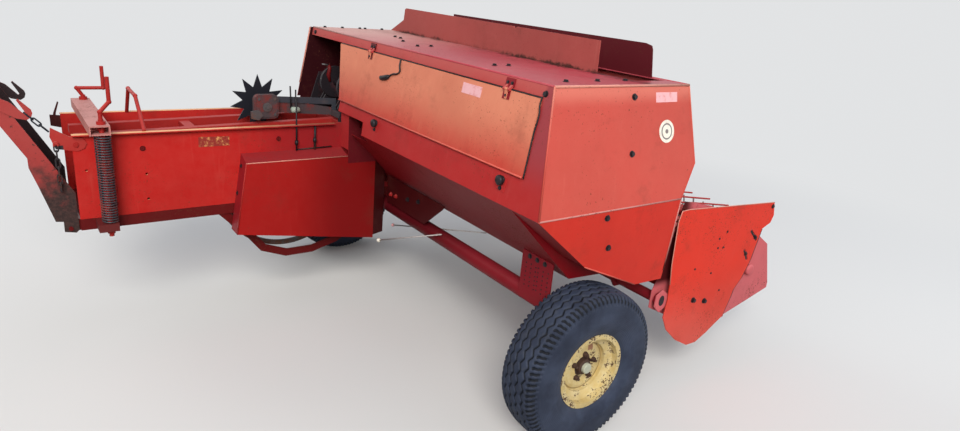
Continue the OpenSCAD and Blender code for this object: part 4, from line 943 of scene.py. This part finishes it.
# %% [markdown]
# The pickup's outer plate carries two large bolts, one in its tip and a few
# pins. The chamber's wall has three bolts and each corner of the hood has one.
# The plate over the axle has a row of bolts and a field of small holes, whose
# shade is painted as dark dots.

# %% Bolts of the pickup, wall and axle
bolts("plate_bolts", "pickup", (10.5, 12, 15), (OUT, [(800, PLATE_Y, 459), (895, PLATE_Y, 435)]))
bolts("tip_bolt", "pickup", (8, 6, 12), (OUT, [(1336, PLATE_Y, 884)]))
pins = [(971, 796), (916, 767), (919, 717), (964, 714), (764, 632), (905, 585), (1010, 470)]
bolts("plate_pins", "pickup", (4.5, 2, 6), (OUT, [(x, PLATE_Y, z) for x, z in pins]))
wall_places = [(-677, WALL_Y, 972), (-1334, WALL_Y, 962), (-1470, WALL_Y, 700)]
bolts("wall_bolts", "root", COACH, (OUT, wall_places), finish=paint_under, slot="worn_paint")
bolts("ear_bolt", "root", (8.5, 4, 13), (OUT, [(-1604, -246, 997)]), finish=paint_frame, slot="bare_steel")
bolts("hood_corner_bolts", "root", (9.5, 7, 12.5),
      (REAR_OUT, [(rear_x(1482), -1851, 1482), (rear_x(1488), 262, 1488)]))
bolts("bracket_bolts", "root", (8.5, 6, 12.5), (AFT, [(-65, y, 738) for y in (-1650, -1700, -1750)]))
# Dark dots paint the shade in the plate's small holes.
dots = [(-66, -1632 - 27 * (k % 6) - 5 * (k % 3), 596 + 21 * (k // 6) + 4 * (k % 2)) for k in range(36)]
bolts("bracket_pins", "root", (2.2, 1, 3.4), (AFT, dots))
print("pins and dots:", len(pins) + len(dots))

# %% [markdown]
# ### Bolts out of view
# The sides that the photograph doesn't show get bolts in plausible rows, along
# the folds of the sheets.

# %% Bolts of the hidden sides
LEFT, FRONT_OUT, NOSE_OUT = Vector((0, 1, 0)), Vector((0.993, 0, 0.12)), Vector((0.85, 0, -0.53))
FAR_PLATE_Y = 314
far_places = [(x, FAR_PLATE_Y, 1492) for x in (-220, -30, 160, 350, 480)]
far_places += [(x, FAR_PLATE_Y, 1082) for x in (-300, -60, 200, 430)]
bolts("far_bolts", "root", COACH, (LEFT, far_places))
left_places = [(x, -WALL_Y, 968) for x in (-1334, -949, -400, 700, 1100)]
left_places += [(x, -WALL_Y, 690) for x in (-1100, -700, 250, 1100)]
bolts("left_wall_bolts", "root", COACH, (LEFT, left_places), finish=paint_under, slot="worn_paint")
front_ys = (-1780, -1320, -860, -400, 60)
bolts("front_bolts", "root", COACH, (FRONT_OUT, [(504.3, y, 1480) for y in (*front_ys, 260)]),
      (NOSE_OUT, [(474.7, y, 1085) for y in front_ys]))
bolts("roof_bolts", "root", COACH, (SKY, [(x, y, HOOD_LOW) for x in (600, 900, 1200) for y in (-195, 195)]))

# %% [markdown]
# ## Shapes drawn from outlines
# Labels, latches and brackets are flat shapes with a thickness. One function
# pushes an outline along a direction, and another sweeps a round bar along a
# list of points. Both close their ends and face outward.

# %% Outline and bar helpers
def slab(outline, push):
    """Verts and faces of an outline pushed along a vector; the outline runs anticlockwise seen against it."""
    n = len(outline)
    verts = [Vector(p) for p in outline] + [Vector(p) + push for p in outline]
    faces = [tuple(range(n))[::-1], tuple(range(n, 2 * n))]
    faces += [(i, (i + 1) % n, n + (i + 1) % n, n + i) for i in range(n)]
    return verts, faces


def swept(points, radius, sides=12, taper=None):
    """A round bar along points; taper lists a factor of the radius for each point."""
    points = [Vector(p) for p in points]
    verts, faces = [], []
    side = None
    for i, p in enumerate(points):
        ahead = (points[min(i + 1, len(points) - 1)] - points[max(i - 1, 0)]).normalized()
        if side is None:
            side = ahead.orthogonal().normalized()
        side = (side - ahead * side.dot(ahead)).normalized()
        other = ahead.cross(side)
        r = radius * (taper[i] if taper else 1)
        verts += [p + r * (math.cos(a) * side + math.sin(a) * other)
                  for a in (2 * math.pi * k / sides for k in range(sides))]
    for i in range(len(points) - 1):
        for k in range(sides):
            a, b = i * sides + k, i * sides + (k + 1) % sides
            faces.append((a, b, b + sides, a + sides))
    last = (len(points) - 1) * sides
    faces += [tuple(range(sides))[::-1], tuple(range(last, last + sides))]
    return verts, faces


def rounded(corners, steps=6):
    """Smooths a polyline with a Catmull-Rom curve."""
    p = [Vector(c) for c in corners]
    p = [2 * p[0] - p[1]] + p + [2 * p[-1] - p[-2]]
    curve = []
    for a, b, c, d in zip(p, p[1:], p[2:], p[3:]):
        for k in range(steps):
            t = k / steps
            curve.append(0.5 * ((2 * b) + (c - a) * t + (2 * a - 5 * b + 4 * c - d) * t ** 2
                                + (3 * b - a - 3 * c + d) * t ** 3))
    return curve + [p[-2]]


def joined(*parts):
    """Several verts-and-faces pairs as one."""
    verts, faces = [], []
    for v, f in parts:
        first = len(verts)
        verts += list(v)
        faces += [tuple(i + first for i in face) for face in f]
    return verts, faces


# %% [markdown]
# Most of the small shapes stand on one of three faces: the hood's leaning rear,
# its leaning end panel, or an upright plate that looks to the right. A function
# for each turns two coordinates on the face into a point.

# %% Points on the faces
def on_rear(y, z, proud=0.0):
    return at(rear_x(z, proud), y, z)


def on_panel(x, z, proud=0.0):
    return at(x, leaning(z, HOOD_END_Y, HOOD_END_LEAN), z) + PANEL_OUT * proud / 1000


def facing_out(ring, centre, y, thick):
    """A ring of (x, z) as a slab whose face looks to the right side of the machine."""
    return slab([at(centre[0] + x, y, centre[1] + z) for x, z in ring], OUT * thick / 1000)


def oval(radius_a, radius_b, steps):
    """Points of an oval round zero."""
    turns = (2 * math.pi * k / steps for k in range(steps))
    return [(radius_a * math.cos(a), radius_b * math.sin(a)) for a in turns]


print("middle of the end panel:", [round(c, 3) for c in on_panel(120, 1280)])

# %% [markdown]
# ## Places of the labels
# The panels carry two small pale labels and a round sticker, and the chamber a
# worn plate. All are blank patches of the real size, thin as foil.

# %% Labels
FOIL = 0.0007
STICKER = (353, 1331)


def flat_finish(name, colour, edge, scale=45.0, rough=0.5):
    """A plain colour that has worn off in patches."""
    f = Finish(name)
    worn = f.patches(f.cloud(scale, 4.0, 0.7, seed=3.0), 0.48, 0.7)
    return f.set(f.blend(worn * 0.7, colour, edge), rough + worn * 0.2, None, f.cloud(200.0), 0.0002)


label_pink = flat_finish("label_pink", (0.78, 0.42, 0.45), (0.62, 0.17, 0.15))
label_white = flat_finish("label_white", (0.8, 0.77, 0.68), (0.6, 0.45, 0.36))
label_grey = flat_finish("label_grey", (0.16, 0.14, 0.14), (0.3, 0.2, 0.18))

on_door = [on_rear(y, z, 8) for y, z in ((-1352, 1446), (-1352, 1404), (-1486, 1404), (-1486, 1446))]
piece("door_label", *slab(on_door, REAR_OUT * FOIL), label_pink, "feeder_door")
on_end = [on_panel(x, z) for x, z in ((287, 1447), (419, 1447), (419, 1486), (287, 1486))]
piece("panel_label", *slab(on_end, PANEL_OUT * FOIL), label_pink, "root")

label_ochre = flat_finish("label_ochre", (0.26, 0.022, 0.016), (0.95, 0.5, 0.17), 52.0)
on_wall = [at(x, WALL_Y, z) for x, z in ((-1081, 952), (-932, 952), (-932, 1000), (-1081, 1003))]
piece("wall_label", *slab(on_wall, OUT * FOIL), label_ochre, "root")


def panel_oval(radius, low, thick):
    ring = [on_panel(STICKER[0] + x, STICKER[1] + z, low) for x, z in oval(radius * 1.02, radius, 32)]
    return slab(ring, PANEL_OUT * thick / 1000)


piece("round_sticker", *panel_oval(46, 0, 0.7), label_white, "root")
piece("sticker_ring", *panel_oval(33, 0.7, 0.15), label_grey, "root")
piece("sticker_middle", *panel_oval(27, 0.85, 0.15), label_white, "root")
piece("sticker_dot", *panel_oval(9, 1.0, 0.15), label_grey, "root")
print("labels placed")

# %% [markdown]
# ## Door furniture
# Two turn-knobs below the door keep it shut, each on a small plate.

# %% Latches
LATCH_Y = {"near": -1739, "far": -690}
LATCH_Z = 1136


def latch(y, z):
    plate = slab([on_rear(y + dy, z + dz, 0) for dy, dz in ((30, 14), (30, -38), (-24, -44), (-24, 14))],
                 REAR_OUT * 0.003)
    base = swept([on_rear(y, z, p) for p in (2, 9, 10)], 0.017, 16, (1, 1, 0.85))
    knob = swept([on_rear(y, z, p) for p in (9, 12, 22, 27, 29)], 0.021, 16, (0.55, 1, 0.95, 0.7, 0.3))
    return plate, base, knob


for label, y in LATCH_Y.items():
    plate, base, knob = latch(y, LATCH_Z)
    piece("latch_plate_" + label, *plate, paint_rear, "root", "faded_paint")
    piece("latch_knob_" + label, *joined(base, knob), steel_dark, "root", "dark_steel", True)
bolts("latch_bolts", "root", (6.5, 5, 9), (REAR_OUT, [(rear_x(1104, 3), y, 1104) for y in LATCH_Y.values()]))
print("latches:", len(LATCH_Y))

# %% [markdown]
# A rubber strap with a blunt end hangs from the hinge strip; it hooks the open
# door up. A rolled lip stiffens the door's lower edge, two hinges of two leaves
# carry the door, and a dark seal runs along its top and its near end.

# %% Strap, lip, hinges and seal
HINGE_LEAVES = (("fixed", "root", 1476, 1507, 27, 1), ("door", "feeder_door", 1428, 1459, 21, 7))

strap_places = [(-812, 1464, 11), (-816, 1440, 13), (-826, 1412, 12), (-806, 1398, 13), (-780, 1394, 14),
                (-755, 1386, 13), (-736, 1374, 13)]
strap = swept(rounded([on_rear(*place) for place in strap_places]), 0.0042, 10)
blunt_places = [(-742, 1377), (-734, 1374), (-716, 1368), (-690, 1362), (-664, 1358), (-656, 1357)]
blunt = swept([on_rear(y, z, 15) for y, z in blunt_places], 0.0125, 14, (0.3, 0.8, 1.0, 1.0, 0.85, 0.35))
piece("door_strap", *joined(strap, blunt), steel_dark, "feeder_door", "dark_steel", True)

lip = swept([on_rear(-236, 1174, 9), on_rear(-1848, 1174, 9)], 0.0034, 10)
piece("door_lip", *lip, paint_panel, "feeder_door", "faded_paint", True)

for label, y in HINGE_Y.items():
    for part, body, low, high, half, proud in HINGE_LEAVES:
        leaf = ((half, high), (half, low), (-half, low), (-half, high))
        corners = [on_rear(y + dy, z, proud) for dy, z in leaf]
        piece("hinge_" + part + "_" + label, *slab(corners, REAR_OUT * 0.004), paint_axle, body, "worn_paint")

seal_top = swept([on_rear(-128, 1466, 3), on_rear(-1838, 1466, 3)], 0.0024, 8)
seal_places = [(-1841, 1470, 4), (-1840, 1440, 5), (-1850, 1404, 5), (-1846, 1330, 4), (-1850, 1250, 4),
               (-1853, 1172, 4)]
seal_end = swept(rounded([on_rear(*place) for place in seal_places]), 0.003, 8)
piece("door_seal", *joined(seal_top, seal_end), steel_dark, "root", "dark_steel", True)
print("door furniture placed")

# %% [markdown]
# ## Folded edges
# Sheet metal is folded round its edges, so each edge is a small round that
# catches the light. The CAD has sharp edges, and a thin round bar laid along
# the ones in view gives the pale line back. The pale paints on some of these
# bars are worn paint and also a painted highlight.

# %% Edge rounds
# Pale worn paint that also paints a highlight on the edges.
paint_edge = weathered_paint("paint_edge", (0.62, 0.17, 0.12), (0.66, 0.36, 0.3), 0.5, 0.5, 0.6)
# Bars in the pale paints show worn paint and a painted highlight.
edge_lines = {
    "panel_top_edge": ([on_panel(rear_x(1514) + 2, 1513), on_panel(498, 1513)], 0.0052, paint_edge),
    "panel_rear_edge": ([on_panel(rear_x(z) + 1, z) for z in (1513, 1050)], 0.0040, paint_panel),
    "panel_front_edge": ([on_panel(499, 1513), on_panel(539, 1190), on_panel(450, 1050)], 0.0030,
                         paint_panel),
    "panel_low_edge": ([on_panel(rear_x(1047) + 3, 1047), on_panel(449, 1047)], 0.0034, paint_pale),
    "skirt_front_edge": ([at(461, -1958.5, 700), at(450, -1990, 1043)], 0.0032, paint_pale),
    "skirt_low_edge": ([at(-60, -1969, 812), at(284, -1955.5, 663)], 0.0028, paint_panel),
    "guard_top_edge": ([at(-879, -340, 875.5), at(-321, -340, 875.5)], 0.0026, paint_edge),
    "guard_rear_edge": ([at(-879, -339.5, 874), at(-936, -339.5, 498)], 0.0032, paint_frame),
    "top_front_edge": ([at(499, -1884, 1513.5), at(499, 310, 1513.5)], 0.0040, paint_hood),
    "nose_edge": ([at(539, -1955, 1190), at(539, 312, 1190)], 0.0030, paint_rear),
    "top_rear_edge": ([at(-259, -1884, 1513.5), at(-259, 310, 1513.5)], 0.0040, paint_hood),
}
for name, (line, radius, finish) in edge_lines.items():
    piece(name, *swept(line, radius, 10), finish, "root", "faded_paint", True)
print("edges rounded:", len(edge_lines))

# %% [markdown]
# ## Knotter drive
# Beside the star wheel stands the housing of its clutch, a square box with
# round corners and a hub. Thin rods hang from the bridge and pass outside the
# wall down to the needle yoke, and a small grip sits on the first of them.

# %% Star wheel housing and rods
def soft_square(half, corner, steps=6):
    """A square with round corners."""
    ring = []
    for k, (sx, sz) in enumerate(((1, 1), (-1, 1), (-1, -1), (1, -1))):
        for j in range(steps + 1):
            a = math.radians(90 * k + 90 * j / steps)
            x = (half - corner) * sx + corner * math.cos(a)
            z = (half - corner) * sz + corner * math.sin(a)
            ring.append((x, z))
    return ring


STAR = (-705, 1125)
housing = joined(facing_out(soft_square(64, 26), STAR, -110, 36),
                 facing_out(soft_square(56, 24), STAR, -146, 5))
hub = joined(facing_out(soft_square(24, 23.9), STAR, -151, 7),
             facing_out(soft_square(11, 10.9), STAR, -158, 8))
piece("star_housing", *housing, box_paint, "root", "cast_iron")
piece("star_hub", *hub, steel_worn, "root", "bare_steel")
housing_corners = [(STAR[0] + sx * 42, -151, STAR[1] + sz * 42) for sx in (-1, 1) for sz in (-1, 1)]
bolts("housing_bolts", "root", (6, 5, 8), (OUT, housing_corners), finish=steel_worn, slot="bare_steel")

ROD_Y = -254
long_rod = swept([at(-583, ROD_Y, 1185), at(-583, ROD_Y, 906)], 0.0045, 10)
short_rod = swept([at(-478, ROD_Y, 1040), at(-480, ROD_Y, 906)], 0.006, 10)
collars = [swept([at(x, ROD_Y, z), at(x, ROD_Y, z - 22)], 0.0095, 12) for x, z in ((-583, 960), (-480, 968))]
cross_rod = swept([at(-585, -248, 908), at(-380, -248, 914)], 0.0035, 8)
piece("trip_rods", *joined(long_rod, short_rod, cross_rod, *collars), steel_dark, "root", "dark_steel", True)
grip = swept([at(x, -150, 1106) for x in (-574, -568, -545, -530, -524)], 0.0165, 14, (0.5, 1, 1, 0.8, 0.4))
grip_rod = swept([at(-548, -150, 1215), at(-548, -150, 1090)], 0.004, 10)
grip_stay = swept([at(-548, -150, 1094), at(-548, -112, 1094)], 0.004, 10)
grip_grey = flat_finish("grip_grey", (0.33, 0.4, 0.34), (0.1, 0.1, 0.08))
piece("grip", *grip, grip_grey, "root", "dark_steel", True)
piece("grip_rod", *joined(grip_rod, grip_stay), steel_dark, "root", "dark_steel", True)
ledge_places = ((-790, 1065), (-752, 1058), (-728, 1082), (-752, 1112), (-792, 1104))
ledge = slab([at(x, -146, z) for x, z in ledge_places], OUT * 0.014)
piece("star_stop", *ledge, steel_worn, "root", "bare_steel")
print("knotter drive placed")

# %% [markdown]
# ## Pickup fittings
# The side plate hides a bearing on the pivot tube: a six-cornered plate with
# the open tube in its middle, whose shade is painted as a thin dark oval.

# %% Pivot plate
PIVOT = (562, 502)
hexagon = [(0, 54), (-42, 34), (-46, -22), (-8, -58), (36, -40), (44, 26)]
piece("pivot_plate", *facing_out(hexagon, PIVOT, -1905.5, 5), paint_inner, "root", "faded_paint")
# A thin dark oval paints the shade inside the open tube.
piece("pivot_mouth", *facing_out(oval(19, 27, 28), PIVOT, -1910.4, 0.6), steel_dark, "root", "dark_steel")
print("pivot plate placed")

# %% [markdown]
# ## Under the hood
# Behind the drive guard the housing goes on as a slanted side sheet, and a web
# of sheet fills the space above the axle next to the chamber; both are painted
# nearly black, as the shade under the hood. Two thin stays with balls on their
# ends run down to the drive, one on each side of the axle.

# %% Housing side, axle web and stays
# Both sheets wear a near-black paint, the painted shade under the hood.
side_places = ((-152, -338, 380), (-66, -302, 378), (-66, -302, 868), (-152, -338, 872))
side_sheet = slab([at(*place) for place in side_places],
                  Vector((-0.386, -0.922, 0)) * -0.004)
piece("housing_side", *side_sheet, paint_web, "root", "worn_paint")
web = [at(-62.5, y, z) for y, z in ((-345, 584), (-770, 584), (-935, 716), (-960, 744), (-345, 744))]
piece("axle_web", *slab(web, AFT * 0.004), paint_web, "root", "worn_paint")
web_places = [(-67, y, z) for y, z in ((-392, 640), (-452, 646), (-585, 668), (-700, 690))]
bolts("web_bolts", "root", (10, 9, 14), (AFT, web_places[:2]), finish=paint_rear, slot="worn_paint")
bolts("web_pins", "root", (10, 9, 14), (AFT, web_places[2:]), slot="worn_paint")


def ball(centre, radius, sides=16):
    """A ball as a bar of growing and shrinking radius."""
    turns = [math.pi * k / 8 for k in range(1, 8)]
    return swept([centre + Vector((0, 0, -radius * math.cos(a))) for a in turns], radius, sides,
                 [math.sin(a) for a in turns])


stay_paint = flat_finish("stay_paint", (0.5, 0.47, 0.46), (0.3, 0.26, 0.25))
near_stay = [at(-150, -418, 374), at(-64, -945, 586)]
far_stay = [at(60, -205, 367), at(60, -1161, 653)]
piece("stays", *joined(*[swept(line, 0.0035, 10) for line in (near_stay, far_stay)]), stay_paint, "root",
      "bare_steel", True)
piece("stay_ball_near", *ball(near_stay[0], 0.013), label_white, "root", None, True)
piece("stay_ball_far", *ball(far_stay[0], 0.011), label_pink, "root", None, True)
print("stays placed")

# %% [markdown]
# ## Hubs
# The wheel nuts stand in a ring round a short hub with a grey grease cap. The
# hub is turned on the axle line and the nuts are cones on their studs.

# %% Hubs
NUTS, NUT_RING = 5, 57.5


def hub_shape(middle_y, out):
    def on_axle(r, turn, y):
        return at(r * math.cos(turn), middle_y + out * y, TYRE_R + r * math.sin(turn))

    def lathe(profile, sides=40):
        return swept([on_axle(0, 0, y) for y, _ in profile], 0.001, sides, [r for _, r in profile])

    body = lathe([(-38, 37), (11.9, 37), (12, 73), (23.5, 73.5), (23.6, 35), (44, 33.5), (48, 29),
                  (48.2, 23.5), (60, 23), (63, 20)])
    nuts = []
    for i in range(NUTS):
        turn = math.radians(90 + 360 * i / NUTS)
        nuts.append(swept([on_axle(NUT_RING, turn, y) for y in (24, 31, 31.5, 44, 46, 46.2, 54)], 0.001, 6,
                          (16, 15, 13, 10.5, 9, 6.5, 6)))
    return joined(body, *nuts)


for side, middle_y, out in (("right", WHEEL_RIGHT_Y, -1), ("left", WHEEL_LEFT_Y, 1)):
    finish = bpy.data.materials["hub_" + side + "_paint"]
    piece("hub_nuts_" + side, *hub_shape(middle_y, out), finish, "wheel_" + side, "hub_paint", False,
          ("hub_" + side,))
print("hubs turned, nuts on each:", NUTS)

# %% [markdown]
# ## Details of the side plate
# Dark bars behind the side plate's two slots paint the shade in them, so the
# slots look dark. A bright bead of worn paint with a painted highlight runs
# along the plate's edge, a dark strip behind its front edge paints the shade in
# the gap to the inner plate, and the reel's shaft carries a round cap on its end.

# %% Slot shade bars, edge, gap shade and reel cap
# Dark bars behind the slots paint the shade in them.
bars = [swept([at(*a), at(*b)], 0.0075, 10) for a, b in (((1190, -1911, 765), (1252, -1911, 711)),
                                                         ((1165, -1911, 661), (1204, -1911, 609)))]
piece("clamp_bars", *joined(*bars), steel_dark, "pickup", "dark_steel", True)
bolts("slot_bolts", "pickup", (7.5, 8, 12), (OUT, [(1234, PLATE_Y, 727), (1178, PLATE_Y, 644)]))
# A bead of worn paint with a painted highlight along the plate's edge.
rim_places = [(590, 583), (575, 689), (564, 903), (578, 951), (628, 953), (1327, 906), (1345, 905)]
plate_rim = [at(x, -1919.5, z) for x, z in rim_places]
piece("plate_edge", *swept(plate_rim, 0.0024, 10), paint_edge, "pickup", "orange_paint", True)
# A dark strip behind the plate's front edge paints the shade in the gap to the inner plate.
front_line = [(1094, 306), (1131, 397), (1143, 445), (1192, 498), (1240, 592), (1283, 762)]
gap_shade = [at(x + 14, -1912.9, z) for x, z in front_line]
gap_shade += [at(x - 12, -1912.9, z) for x, z in front_line[::-1]]
piece("plate_packing", *slab(gap_shade, OUT * 0.003), steel_dark, "pickup", "dark_steel")
reel_cap = swept([at(1300, y, 520) for y in (-1885, -1900, -1904, -1905)], 0.03, 32, (1, 1, 0.88, 0.6))
piece("reel_cap", *reel_cap, paint_inner, "reel", "worn_paint", True)
print("side plate finished")

# %% [markdown]
# ## In the knotter bay
# Behind the star wheel the open end of the hood shows the knotters' trip
# levers, small bent bars that stand out a little from the dark. The plate of
# the star wheel's arm and a thin rod stand in front of them.

# %% Trip levers and arm plate
lever = swept([at(-258, 78, 1318), at(-254, 78, 1300), at(-262, 78, 1262), at(-252, 78, 1222)], 0.012, 10,
              (0.5, 1, 1.1, 0.7))
arms = [swept([at(-300, 80, 1322), at(-276, 80, 1320), at(-254, 80, 1312)], 0.0045, 8),
        swept([at(-306, 80, 1238), at(-280, 80, 1234), at(-240, 80, 1238)], 0.0045, 8)]
# The trip levers wear the dark underside paint, which holds painted shade.
piece("bill_levers", *lever, paint_under, "root", "worn_paint", True)
piece("bill_arms", *joined(*arms), steel_worn, "root", "bare_steel", True)
# A bead of worn paint with a painted highlight along the far plate's edge.
far_edge = [at(rear_x(z) - 20, 312, z) for z in (1512, 1180)]
piece("far_plate_edge", *swept(far_edge, 0.0042, 10), paint_edge, "root", "faded_paint", True)
arm_places = [(-690, 1146), (-322, 1124), (-322, 1070), (-299, 1070), (-299, 1157), (-690, 1178)]
star_arm = [at(x, -112.5, z) for x, z in arm_places]
piece("star_arm_plate", *slab(star_arm, OUT * 0.006), steel_arm, "root", "bare_steel")
piece("trip_rod", *swept([at(-568, -122, 1230), at(-563, -122, 1110)], 0.0042, 10), steel_dark, "root",
      "dark_steel", True)
guard_back = Vector((-0.989, 0, 0.15))
bolts("guard_bolts", "root", (7.5, 5, 12), (guard_back, [(-884, -268, 846), (-906, -262, 700)]))
print("bay furnished")

# %% [markdown]
# ## Floor
# A plain floor carries the shadow. To the camera it is pale and melts into the
# backdrop with distance. To the light it is dark ground, so that it doesn't
# throw white light on the undersides. Towards the key light the floor turns
# greyer, to make up for the light being nearer there.

# %% Floor
FLOOR_NEAR, FLOOR_LIT = (0.74, 0.74, 0.735), (0.42, 0.42, 0.415)
FLOOR_REACH = 40.0


def floor_finish():
    """Dark ground to the light, and a pale floor that fades into the backdrop to the camera."""
    f = Finish("floor_pale")
    lightward = f.x * -0.54 + f.y * -0.84
    f.set(f.blend(f.patches(lightward, -0.5, 6.0), FLOOR_NEAR, FLOOR_LIT), 0.95, specular=0.0)
    ground = f.tree.nodes.new("ShaderNodeBsdfDiffuse")
    ground.inputs["Color"].default_value = (0.13, 0.12, 0.09, 1)
    far_off = f.node("ShaderNodeEmission", {}, {"Color": (*BACKDROP, 1)})
    away = (f.x ** 2.0 + f.y ** 2.0) ** 0.5
    shown = f.node("ShaderNodeMixShader", {}, {0: f.patches(away, 3.0, 5.8), 1: Wire(f, f.shader.outputs[0]),
                                               2: far_off})
    both = f.node("ShaderNodeMixShader", {}, {0: seen_on(f), 1: Wire(f, ground.outputs[0]), 2: shown})
    f.tree.links.new(both.socket, f.tree.nodes["Material Output"].inputs["Surface"])
    return f.material


ground = bpy.data.meshes.new("floor")
floor_corners = [(x * FLOOR_REACH, y * FLOOR_REACH, 0) for x, y in ((-1, -1), (1, -1), (1, 1), (-1, 1))]
ground.from_pydata(floor_corners, [], [(0, 1, 2, 3)])
ground.materials.append(floor_finish())
floor = bpy.data.objects.new("floor", ground)
bpy.context.collection.objects.link(floor)
print("floor laid")
